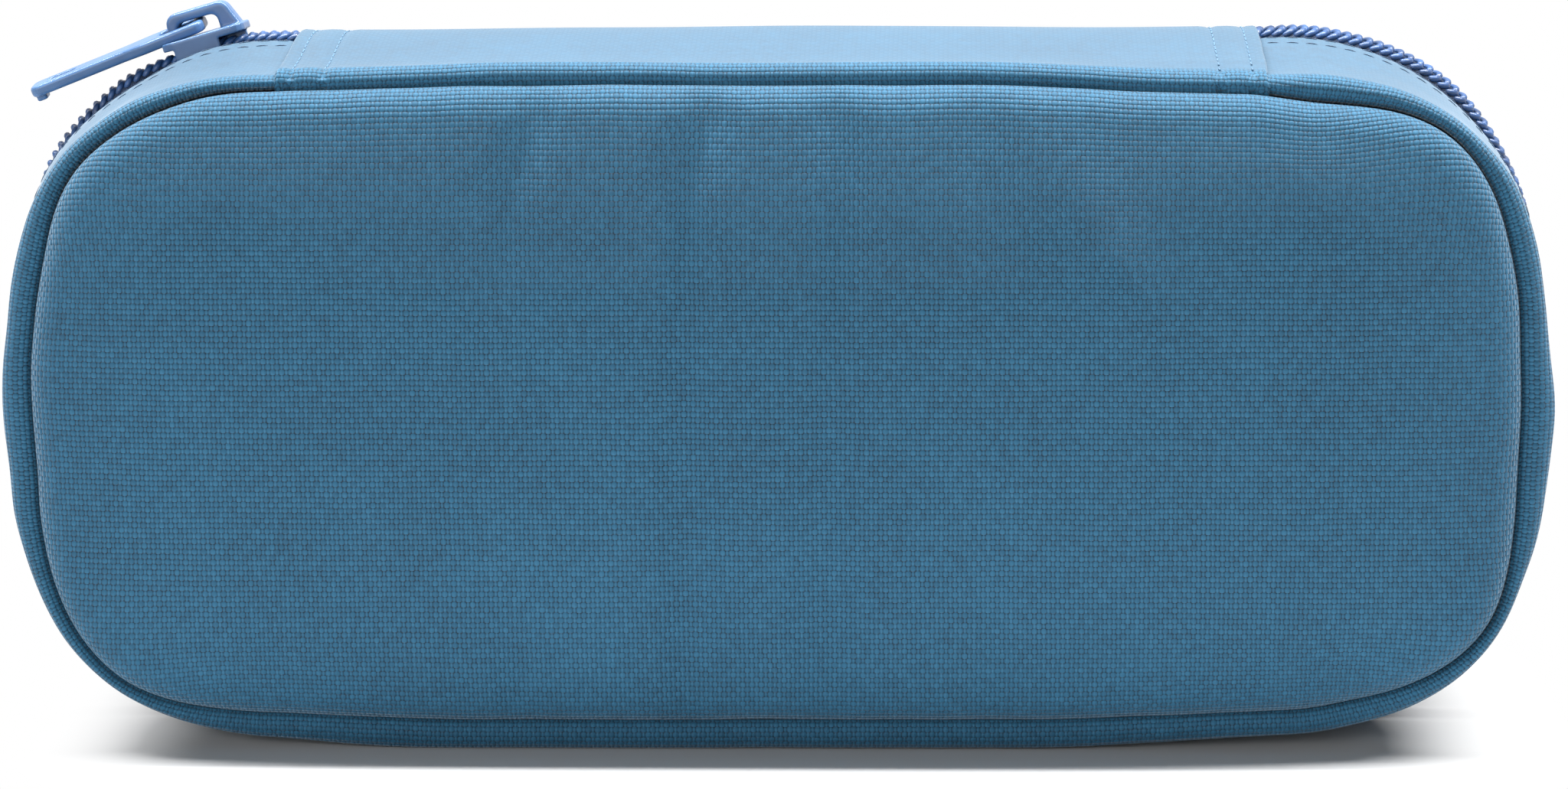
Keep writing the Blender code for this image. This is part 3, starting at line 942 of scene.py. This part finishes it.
def makeFace(prefix, side):
    look = faceLook
    size = look["rows"], look["columns"]
    rings = faceRings()
    stations = faceStations(look["evenDepth"], *size)
    waves = ripple(stations[:, 4], rippleLook["seed"][side]) * rippleLook["seamShare"]
    seamIn = drawnIn(seamDraw, stations) + waves
    inner = np.stack(wallPoints(stations, *rings[-1]), axis=1)
    edge = rings[0][1]
    loops = []
    flat = []
    for index, (away, depth) in enumerate(rings):
        ease = np.clip(1 - (depth - edge) / (look["evenDepth"] - edge), 0.0, 1.0)
        loops.append(wallLoop(stations, away, depth + seamIn * ease, side))
        flat.append(inner + stations[:, 2:4] * lineLength(rings[index:]))
    flatPatch = fillPatch(inner, *size)
    cover, behind = padFaces(len(rings), *size)
    front = crownFace(np.concatenate([*loops, fillPatch(loops[-1], *size)]), side)
    front = settleCloth(front, cover, clothLook["sewnRings"] * len(stations), side)
    front = foldFace(front, side)
    back = wallLoop(stations, look["back"], rings[-1][1], side)
    points = np.concatenate([front, back, fillPatch(back, *size)])
    flat = np.concatenate([*flat, flatPatch, inner, flatPatch])
    face = padFrom(f"{prefix}_face_cover", points, cover + behind, flat, "shell")
    fit(face, f"{prefix}_half", "shell_fabric", f"{prefix}_face_fabric", f"{prefix}_face_foam")


for prefix, side in halves:
    makeFace(prefix, side)
print("faces padded")


# The panel that the two halves fold on
panelLook = {
    "crease": 96.2 * mm,
    "tuck": 0.6 * mm,               # how far below the crease the seam lies
    "tubeTop": 98.6 * mm,
    "tubeCentre": 24.8 * mm,
    "tubeFront": 2.4 * mm,
    "tubeFrom": -20.0,
    "tubeSteps": 10,
    "crest": 102.1 * mm,
    "bandSteps": 40,
    "bandPower": 0.8,               # below 1, the steps are closer near the fold
    "cloth": 0.9 * mm,
    "innerWidth": 0.985,            # width of the inside, as a share of the outside's
    "endRound": 0.55 * mm,
    "endColumns": (0.0, 0.1 * mm, 0.25 * mm, 0.5 * mm),
    "spacing": 1.4 * mm,
    "rows": (2.2 * mm, 6.8 * mm),   # stitch rows in from each end
    "pucker": 0.28 * mm,
    "puckerWidth": 0.7 * mm,
    "puckerColumns": (-1.0, -0.5, 0.5, 1.0),
    "dent": 0.55 * mm,              # where the rows cross the tube
    "dentWidth": 0.5 * mm,
    "dentFrom": (23.0 * mm, 2.5 * mm),    # distance from the fold where it starts, and the run
    "drawnFrom": (20.0 * mm, 6.0 * mm),   # the same for how the seam draws it in
    "swell": 0.40 * mm,             # the middle stands up, most at the fold
    "swellWidth": 16.0 * mm,
    "swellReach": 28.0 * mm,
    "wave": 0.10 * mm,
    "waveLength": 8.3 * mm,
    "waveTurn": 2.0,
    "foldZone": 1.6 * mm,
}
panelLiningLook = {
    "drop": 3.4 * mm,
    "cloth": 0.6 * mm,
    "halfWidth": 20.2 * mm,
    "steps": 30,
    "endsIn": 0.4 * mm,
    "columns": 60,
    "foldZone": 5.0 * mm,
}


def panelHeight(away):
    look = panelLook
    return look["tubeTop"] + (look["crest"] - look["tubeTop"]) * float(smooth(1 - away / look["tubeCentre"]))


# Half of the panel's section, from the front or back seam up to the fold, as distance and height
def panelHalfLine():
    look = panelLook
    points = [(wallLook["groove"], look["crease"] - look["tuck"])]
    for away, rise in tubeRise(look):
        points.append((away, look["crease"] + (look["tubeTop"] - look["crease"]) * rise))
    for step in range(1, look["bandSteps"] + 1):
        away = look["tubeCentre"] * (1 - (step / look["bandSteps"]) ** look["bandPower"])
        points.append((away, panelHeight(away)))
    return points


# The whole section from such a half, front to back
def bothHalves(line):
    return [(-away, z) for away, z in line] + [(away, z) for away, z in line[-2::-1]]


def panelColumns():
    look = panelLook
    half = case["panelHalf"]
    count = int(round(2 * half / look["spacing"]))
    columns = list(np.linspace(-half, half, count + 1)[1:-1])
    insets = [*look["endColumns"], *look["rows"]]
    for row in look["rows"]:
        insets.extend(row + nudge * look["puckerWidth"] for nudge in look["puckerColumns"])
    for inset in insets:
        columns.extend((inset - half, half - inset))
    return np.unique(np.round(columns, 6))


# How far the panel's surface drops at x: rounded ends, puckers at the stitch rows and slow waves
def panelDrop(x, away):
    look = panelLook
    inset = case["panelHalf"] - np.abs(x)
    edge = np.clip(1 - inset / look["endRound"], 0.0, 1.0)
    drop = look["endRound"] * (1 - np.sqrt(1 - edge**2))
    for row in look["rows"]:
        drop = drop + look["pucker"] * bell(inset - row, look["puckerWidth"])
    drop = drop - look["swell"] * bell(x, look["swellWidth"]) * (1 - away / look["swellReach"])
    drop = drop + look["wave"] * np.sin(x / look["waveLength"] + look["waveTurn"])
    stations = np.zeros((len(x), 5))
    stations[:, 4] = perimeter(0.0) - case["reach"] - x
    start, run = look["drawnFrom"]
    return drop + drawnIn(seamDraw, stations) * float(smooth((away - start) / run))


# How far the stitch rows pull the tube in
def panelDent(x, away):
    look = panelLook
    inset = case["panelHalf"] - np.abs(x)
    start, run = look["dentFrom"]
    near = float(smooth((away - start) / run))
    return sum(look["dent"] * near * bell(inset - row, look["dentWidth"]) for row in look["rows"])


# A strip across both halves. A sewn one is dropped and dented as the panel is.
def panelStrip(name, line, thickness, columns, finish, sewn):
    outside = bothHalves(line)
    section = [(y, z, 0.0) for y, z in outside] + [(y, z, thickness) for y, z in outside[::-1]]
    grid = []
    for y, z, down in section:
        width = panelLook["innerWidth"] if down else 1.0
        points = np.stack(np.broadcast_arrays(columns, y * width, z - down), axis=1)
        if sewn:
            points[:, 1] -= math.copysign(1, y) * panelDent(columns, abs(y))
            points[:, 2] -= panelDrop(columns, abs(y))
        grid.append(points)
    calm = [bandCalm(abs(y)) for y, z, down in section]
    return loft(name, np.array(grid), columns, finishes[finish], calm=calm)


# Bakes a piece's transform into its mesh
def foldOver(piece):
    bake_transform(piece)


def makePanel():
    look = panelLook
    panel = panelStrip("top_panel", panelHalfLine(), look["cloth"], panelColumns(), "shell", True)
    foldOver(panel)
    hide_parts("back_hinge_panel", "front_hinge_panel", "back_hinge_foam", "front_hinge_foam")


def makePanelLining():
    look = panelLiningLook
    line = []
    for step in range(look["steps"] + 1):
        away = look["halfWidth"] * (1 - step / look["steps"])
        line.append((away, panelHeight(away) - look["drop"]))
    half = case["zipReach"] - look["endsIn"]
    columns = np.linspace(-half, half, look["columns"])
    inner = panelStrip("top_panel_lining", line, look["cloth"], columns, "lining", False)
    foldOver(inner)
    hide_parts("back_hinge_lining", "front_hinge_lining")
    2 * half


makePanel()
makePanelLining()
print("top panel lofted")


# Inside: linings and zip tapes, each a thin strip round the wall. Lines give distance and depth, in mm.
insideLook = {
    "spacing": 2.0 * mm,
    "drawnOver": 20.0 * mm,   # distance from the rim over which a strip comes to be drawn in with the tube
}
strips = {
    "wall_lining": {
        "line": ((20.3, 3.9), (14.0, 3.6), (11.1, 3.4), (10.1, 2.2), (5.7, 2.15)),
        "cloth": 0.55 * mm,
        "seed": 1.0,
        "finish": "lining",
        "slot": "lining",
        "node": "gusset_lining",
    },
    "tape": {
        "line": ((10.1, 1.2), (6.0, 1.2), (4.2, 1.2), (3.3, 0.8), (2.8, 0.1), (1.4, -0.2), (0.6, 0.1)),
        "cloth": 0.6 * mm,
        "seed": 0.0,
        "finish": "tape",
        "slot": "zip_tape",
        "node": "zip_tape",
    },
}


def makeStrip(prefix, side, name, look):
    line = [(away * mm, depth * mm) for away, depth in look["line"]]
    outside = line + [(away, depth + look["cloth"]) for away, depth in line[::-1]]
    section = []
    for away, depth in outside:
        section.append((away, depth, 0.0, max(0.0, (away - case["rim"]) / insideLook["drawnOver"])))
    lengths = zipLengths(insideLook["spacing"])
    grid = wallGrid(section, lengths, side, look["seed"])
    strip = loft(f"{prefix}_{name}", grid, lengths, finishes[look["finish"]])
    fit(strip, f"{prefix}_half", look["slot"], f"{prefix}_" + look["node"])


# The bound seam, a rounded bar all the way round
boundLook = {
    "front": 26.5 * mm,
    "back": 20.8 * mm,
    "depth": 5.1 * mm,
    "thickness": 2.0 * mm,
    "steps": 16,
    "squareness": (0.5, 0.7),   # powers below 1 square off its section across and in depth
    "seed": 2.0,
}


def makeBoundSeam(prefix, side):
    look = boundLook
    middle = (look["front"] + look["back"]) / 2
    half = (look["front"] - look["back"]) / 2
    section = []
    for step in range(look["steps"]):
        angle = 2 * math.pi * step / look["steps"]
        across, deep = (
            math.copysign(abs(part) ** power, part)
            for part, power in zip((math.cos(angle), math.sin(angle)), look["squareness"])
        )
        section.append((middle + half * across, look["depth"] + look["thickness"] / 2 * (1 + deep), 1.0, 0.0))
    lengths = np.linspace(0.0, perimeter(0.0), int(perimeter(0.0) / insideLook["spacing"]) + 1)
    grid = wallGrid(section, lengths[:-1], side, look["seed"])
    bound = loft(f"{prefix}_bound_seam", grid, lengths, finishes["binding"], True)
    fit(bound, f"{prefix}_half", "binding", f"{prefix}_seam_binding")


# The cloth behind the face's foam, a thin slightly puffed pad. Rings give distance and depth, in mm.
faceLiningLook = {
    "rows": 12,
    "columns": 36,
    "edge": 5.6 * mm,
    "inset": 12.0 * mm,
    "rings": ((27.3, 5.6), (26.9, 5.4), (26.6, 5.6), (26.3, 8.0), (26.2, 12.0)),
    "back": (27.3, 12.0),
    "drawn": 1.5,
}


def makeFaceLining(prefix, side):
    look = faceLiningLook
    size = look["rows"], look["columns"]
    inset = look["inset"]
    stations = faceStations(inset, *size)
    seamIn = drawnIn(seamDraw, stations)
    loops = []
    for away, depth in np.array([*look["rings"], look["back"]]) * mm:
        loops.append(wallLoop(stations, away, depth + seamIn * (inset - depth) / inset * look["drawn"], side))
    *rings, back = loops
    points = np.concatenate([*rings, fillPatch(rings[-1], *size), back, fillPatch(back, *size)])
    cover, behind = padFaces(len(rings), *size)
    lining = padFrom(f"{prefix}_face_lining_cloth", points, cover + behind, points[:, [0, 2]], "lining")
    fit(lining, f"{prefix}_half", "lining", f"{prefix}_face_lining")
    corner = case["radius"] - look["edge"]
    width = case["side"] + 2 * corner
    length = 2 * (case["reach"] + corner)
    area = width * length - (4 - math.pi) * corner**2


for prefix, side in halves:
    for name, look in strips.items():
        makeStrip(prefix, side, name, look)
    makeBoundSeam(prefix, side)
    makeFaceLining(prefix, side)
print("inside fitted")


# A Geometry Nodes tree's start: its geometry, sizes and material as named inputs
def newTree(name, sizes):
    group = bpy.data.node_groups.new(name, "GeometryNodeTree")
    kinds = {"Geometry": "Geometry", **dict.fromkeys(sizes, "Float"), "Material": "Material"}
    for label, kind in kinds.items():
        group.interface.new_socket(label, in_out="INPUT", socket_type="NodeSocket" + kind)
    group.interface.new_socket("Geometry", in_out="OUTPUT", socket_type="NodeSocketGeometry")
    entry = group.nodes.new("NodeGroupInput")
    return Wire(group), {label: Wire(group, entry.outputs[label]) for label in kinds}


# And its end: real meshes, shaded smooth, of that material
def endTree(made, get):
    made = made.add("GeometryNodeRealizeInstances", {"Geometry": made})
    made = made.add("GeometryNodeSetShadeSmooth", {"Geometry": made})
    made = made.add("GeometryNodeSetMaterial", {"Geometry": made, "Material": get["Material"]})
    plug(made, made.tree.nodes.new("NodeGroupOutput"), 0)
    return made.tree


# Leaves an object as the plain mesh that its modifiers make
def applyAll(obj):
    bpy.context.view_layer.update()
    made = bpy.data.meshes.new_from_object(obj.evaluated_get(bpy.context.evaluated_depsgraph_get()))
    obj.modifiers.clear()
    obj.data = made
    made.name = obj.name


# Runs a tree over lines of points, whose ups say which way is out of the cloth
def growAlong(name, lines, ups, group, values):
    edges = []
    start = 0
    for line in lines:
        edges.extend((start + i, start + i + 1) for i in range(len(line) - 1))
        start += len(line)
    mesh = newMesh(name, np.concatenate(lines), edges, [])
    layer = mesh.attributes.new("up", "FLOAT_VECTOR", "POINT")
    layer.data.foreach_set("vector", np.concatenate([ups] * len(lines)).astype(np.float32).ravel())
    obj = linkObject(name, mesh)
    modifier = obj.modifiers.new("grow", "NODES")
    modifier.node_group = group
    for item in group.interface.items_tree:
        if item.in_out == "INPUT" and item.name in values:
            modifier[item.identifier] = values[item.name]
    applyAll(obj)
    return obj


# One filament wound into a flat coil along the zip
coil = {
    "pitch": 1.6 * mm,
    "wire": 0.50 * mm,
    "overlap": 0.30 * mm,    # how far the loops reach past the middle, between the other half's
    "lean": 0.45 * mm,
    "edge": 3.1 * mm,
    "depth": 0.05 * mm,
    "height": 2.0 * mm,
    "spacing": 0.8 * mm,
    "stepsPerTurn": 16.0,
    "sides": 9,
    "turn": {-1: 0.0, 1: 0.5},
}


def coilTree():
    tree, get = newTree("wound_coil", ("Pitch", "Half Width", "Half Height", "Wire", "Lean", "Turn"))
    curve = tree.add("GeometryNodeMeshToCurve", {"Mesh": get["Geometry"]})
    step = get["Pitch"] / coil["stepsPerTurn"]
    fine = tree.add("GeometryNodeResampleCurve", {"Curve": curve, "Length": step}, mode="LENGTH")
    length = tree.add("GeometryNodeSplineParameter", {}, "Length")
    angle = (length / get["Pitch"] + get["Turn"]) * (2 * math.pi)
    up = tree.add("GeometryNodeInputNamedAttribute", {"Name": "up"}, data_type="FLOAT_VECTOR")
    tangent = tree.add("GeometryNodeInputTangent", {})
    across = tangent.vector("CROSS_PRODUCT", up).vector("NORMALIZE")
    rise = up.scaled(angle.maths("COSINE") * get["Half Height"])
    reach = across.scaled(angle.maths("SINE") * get["Half Width"])
    lean = tangent.scaled(angle.maths("COSINE") * get["Lean"])
    offset = rise.vector("ADD", reach).vector("ADD", lean)
    wound = tree.add("GeometryNodeSetPosition", {"Geometry": fine, "Offset": offset})
    ring = tree.add("GeometryNodeCurvePrimitiveCircle", {"Resolution": coil["sides"], "Radius": get["Wire"]})
    tube = tree.add("GeometryNodeCurveToMesh", {"Curve": wound, "Profile Curve": ring, "Fill Caps": True})
    return endTree(tube, get)


def makeCoil(prefix, side, group):
    centre = (coil["edge"] - coil["overlap"]) / 2
    stations = stationsAt(zipLengths(coil["spacing"]), 0.0)
    line = wallLoop(stations, centre, coil["depth"] + drawnIn(coilDraw, stations) * coilShare[side], side)
    line[:, 2] -= pressedDown(stations)
    values = {
        "Pitch": coil["pitch"],
        "Half Width": side * ((coil["edge"] + coil["overlap"]) / 2 - coil["wire"]),   # wound as mirror images
        "Half Height": coil["height"] / 2 - coil["wire"],
        "Wire": coil["wire"],
        "Lean": -coil["lean"],
        "Turn": coil["turn"][side],
        "Material": finishes["coil"],
    }
    wound = growAlong(f"{prefix}_coil", [line], outward(stations), group, values)
    fit(wound, f"{prefix}_half", "zip_coil", f"{prefix}_zip_coil")


woundCoil = coilTree()
for prefix, side in halves:
    makeCoil(prefix, side, woundCoil)
print("coils wound")


# The stitches: where their rows lie, and how each is sewn
stitch = {
    "wallRows": (5.7 * mm, 7.6 * mm),   # distances from the zip plane
    "panelShort": 0.5 * mm,             # the panel's rows end this far short of the tube's top
    "spacing": 1.0 * mm,
    "lift": 0.03 * mm,
    "points": 7,
    "sides": 6,
    "seed": 7,
}
wallStitch = {
    "Pitch": 2.8 * mm,
    "Length": 1.7 * mm,
    "Thread": 0.13 * mm,
    "Arch": 0.10 * mm,
    "Stray": 0.07,
    "Material": finishes["thread"],
}
panelStitch = {
    **wallStitch,
    "Pitch": 2.1 * mm,
    "Length": 1.5 * mm,
    "Thread": 0.24 * mm,
    "Material": finishes["paleThread"],
}


# A row of stitches along a line: short arched threads that dip into the cloth at both ends
def stitchTree():
    tree, get = newTree("stitch_row", ("Pitch", "Length", "Thread", "Arch", "Stray"))
    curve = tree.add("GeometryNodeMeshToCurve", {"Mesh": get["Geometry"]})
    places = tree.add("GeometryNodeResampleCurve", {"Curve": curve, "Length": get["Pitch"]}, mode="LENGTH")
    half = get["Length"] * 0.5
    start, end = (tree.add("ShaderNodeCombineXYZ", {"X": x}) for x in (half * -1.0, half))
    line = tree.add("GeometryNodeCurvePrimitiveLine", {"Start": start, "End": end})
    line = tree.add("GeometryNodeResampleCurve", {"Curve": line, "Count": stitch["points"]}, mode="COUNT")
    centred = tree.add("GeometryNodeSplineParameter", {}, "Factor") * 2.0 - 1.0
    arch = tree.add("ShaderNodeCombineXYZ", {"Z": (0.5 - centred * centred) * get["Arch"]})
    bent = tree.add("GeometryNodeSetPosition", {"Geometry": line, "Offset": arch})
    radius = get["Thread"] * 0.5
    ring = tree.add("GeometryNodeCurvePrimitiveCircle", {"Resolution": stitch["sides"], "Radius": radius})
    thread = tree.add("GeometryNodeCurveToMesh", {"Curve": bent, "Profile Curve": ring, "Fill Caps": True})
    up = tree.add("GeometryNodeInputNamedAttribute", {"Name": "up"}, data_type="FLOAT_VECTOR")
    tangent = tree.add("GeometryNodeInputTangent", {})
    facing = tree.add("FunctionNodeAlignRotationToVector", {"Vector": up}, axis="Z")
    facing = tree.add(
        "FunctionNodeAlignRotationToVector", {"Rotation": facing, "Vector": tangent}, axis="X", pivot_axis="Z"
    )
    inputs = {"Points": places, "Instance": thread, "Rotation": facing}
    placed = tree.add("GeometryNodeInstanceOnPoints", inputs)
    limits = {"Min": get["Stray"] * -1.0, "Max": get["Stray"], "Seed": stitch["seed"]}
    stray = tree.add("FunctionNodeRandomValue", limits, output=1, data_type="FLOAT")
    twist = tree.add("ShaderNodeCombineXYZ", {"Z": stray})
    turned = tree.add("GeometryNodeRotateInstances", {"Instances": placed, "Rotation": twist})
    return endTree(turned, get)


stitchRow = stitchTree()


# Two rows beside the zip on each wall
def stitchWall(prefix, side):
    outside = np.array(wallOutside())[::-1]
    lengths = zipLengths(stitch["spacing"])
    section = []
    for away in stitch["wallRows"]:
        depth, seam, tube = (np.interp(away, outside[:, 0], column) for column in outside[:, 1:].T)
        section.append((away, depth - stitch["lift"], seam, tube))
    lines = wallGrid(section, lengths, side, rippleLook["seed"][side])
    ups = outward(stationsAt(lengths, 0.0))
    sewn = growAlong(f"{prefix}_zip_stitches", lines, ups, stitchRow, wallStitch)
    fit(sewn, f"{prefix}_half", "shell_fabric")


# Two rows across each end of the top panel
def stitchPanel():
    look = panelLook
    band = look["tubeCentre"] - stitch["panelShort"]
    outline = bothHalves([(away, z) for away, z in panelHalfLine() if away < band])
    slope = np.gradient(np.array(outline), axis=0)
    ups = np.stack([np.zeros(len(outline)), -slope[:, 1], slope[:, 0]], axis=1)
    ups /= np.linalg.norm(ups, axis=1)[:, None]
    lines = []
    for row in look["rows"]:
        for x in (row - case["panelHalf"], case["panelHalf"] - row):
            drops = [float(panelDrop(np.array([x]), abs(y))[0]) for y, z in outline]
            lines.append([(x, y, z - drop + stitch["lift"]) for (y, z), drop in zip(outline, drops)])
    sewn = growAlong("panel_stitches", lines, ups, stitchRow, panelStitch)
    foldOver(sewn)


for prefix, side in halves:
    stitchWall(prefix, side)
stitchPanel()
print("stitches sewn")


# The cast slider and pull: the frame's own shapes with their edges softened as casting and enamel leave them
castLook = {
    "voxel": 0.13 * mm,
    "smoothSteps": 7,
    "smoothFactor": 0.5,
    "bodySwell": 0.04 * mm,
    "pullSwell": 0.14 * mm,
    "pullRoll": 6.5,           # degrees that the pull hangs turned in the crown, about its own length
}


def softCast(name, node, body, thicker):
    mesh = frame["nodes"][node].data.copy()
    bm = bmesh.new()
    bm.from_mesh(mesh)
    bmesh.ops.remove_doubles(bm, verts=bm.verts[:], dist=1e-6)
    bm.to_mesh(mesh)
    bm.free()
    obj = linkObject(name, mesh, finishes["enamel"])
    remesh = obj.modifiers.new("remesh", "REMESH")
    remesh.mode = "VOXEL"
    remesh.voxel_size = castLook["voxel"]
    soften = obj.modifiers.new("soften", "SMOOTH")
    soften.factor = castLook["smoothFactor"]
    soften.iterations = castLook["smoothSteps"]
    swell = obj.modifiers.new("swell", "DISPLACE")
    swell.mid_level = 0.0
    swell.strength = thicker
    applyAll(obj)
    obj.data.shade_smooth()
    obj.data.materials.clear()
    obj.data.materials.append(finishes["enamel"])
    fit(obj, body, "slider_enamel", node)
    return obj


def rollPull(pull):
    low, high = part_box("slider_pull")
    eye = Vector(joints["pull_swing"]["pos_m"])
    along = eye - (low + high) / 2
    along.y = 0.0
    roll = Matrix.Rotation(math.radians(castLook["pullRoll"]), 4, along.normalized())
    pull.data.transform(Matrix.Translation(eye) @ roll @ Matrix.Translation(-eye))


softCast("slider_cast", "slider_body", "slider", castLook["bodySwell"])
rollPull(softCast("pull_cast", "slider_pull", "pull", castLook["pullSwell"]))
print("slider and pull cast")


# Studio: a white floor that keeps the shadow, soft light from above and a fill from the front
studio = {
    "floorSize": 6.0,
    "floorColour": (0.62, 0.62, 0.62),
    "floorRoughness": 0.9,
    "shadowPlace": (0.0035, 0.0, 0.0),
    "shadowHalf": (0.079, 0.028, 0.0),   # the floor turns white outside this, where no shadow falls
    "white": (0.006, 0.034),             # how far outside it starts to turn, and is white
    "ambient": 0.085,
}
lamps = {
    "top_softbox": {
        "place": (0.15, 0.065, 1.0),
        "aim": (0.15, 0.0, 0.05),
        "size": (1.80, 0.10),
        "watts": 62.0,
    },
    "front_fill": {
        "place": (-0.45, -1.20, 0.36),
        "aim": (0.0, 0.0, 0.05),
        "size": (1.3, 0.5),
        "watts": 9.6,
    },
}


# 1 for what the camera sees, also in a mirror or through glass, and 0 for what only lights other things
def seenRays(wire):
    paths = wire.add("ShaderNodeLightPath", {}, "Is Camera Ray")
    seen = paths.maths("MAXIMUM", paths.output("Is Glossy Ray"))
    return seen.maths("MAXIMUM", paths.output("Is Transmission Ray"))


def makeFloor():
    half = studio["floorSize"] / 2
    corners = [(-half, -half, 0), (half, -half, 0), (half, half, 0), (-half, half, 0)]
    mesh = newMesh("studio_floor", corners, [], [(0, 1, 2, 3)])
    material, wire, shader = newFinish(
        "white_floor",
        Base_Color=(*studio["floorColour"], 1.0),
        Roughness=studio["floorRoughness"],
        Specular_IOR_Level=0.0,
    )
    apart = wire.add("ShaderNodeTexCoord", {}, "Object").vector("SUBTRACT", studio["shadowPlace"])
    apart = apart.vector("ABSOLUTE").vector("SUBTRACT", studio["shadowHalf"])
    apart = apart.vector("MAXIMUM", (0.0, 0.0, 0.0))
    far = apart.vector("LENGTH", output="Value").eased(*studio["white"])
    lit = Wire(wire.tree, shader.outputs[0])
    glow = wire.add("ShaderNodeEmission", {})
    mixed = wire.add("ShaderNodeMixShader", {0: far * seenRays(wire), 1: lit, 2: glow})
    plug(mixed, wire.tree.nodes["Material Output"], "Surface")
    linkObject("studio_floor", mesh, material)


def makeWorld():
    world = bpy.data.worlds.new("studio_air")
    bpy.context.scene.world = world
    world.use_nodes = True
    background = world.node_tree.nodes["Background"]
    background.inputs["Color"].default_value = (1.0, 1.0, 1.0, 1.0)
    strength = studio["ambient"] + seenRays(Wire(world.node_tree)) * (1 - studio["ambient"])
    plug(strength, background, "Strength")


def areaLamp(name, look):
    light = bpy.data.lights.new(name, "AREA")
    light.shape = "RECTANGLE"
    light.size, light.size_y = look["size"]
    light.energy = look["watts"]
    lamp = linkObject(name, light)
    lamp.location = look["place"]
    lamp.rotation_euler = (Vector(look["aim"]) - Vector(look["place"])).to_track_quat("-Z", "Y").to_euler()
    lamp.visible_camera = False


makeFloor()
makeWorld()
for name, look in lamps.items():
    areaLamp(name, look)
bpy.context.scene.view_settings.view_transform = "Standard"
print("studio lit")
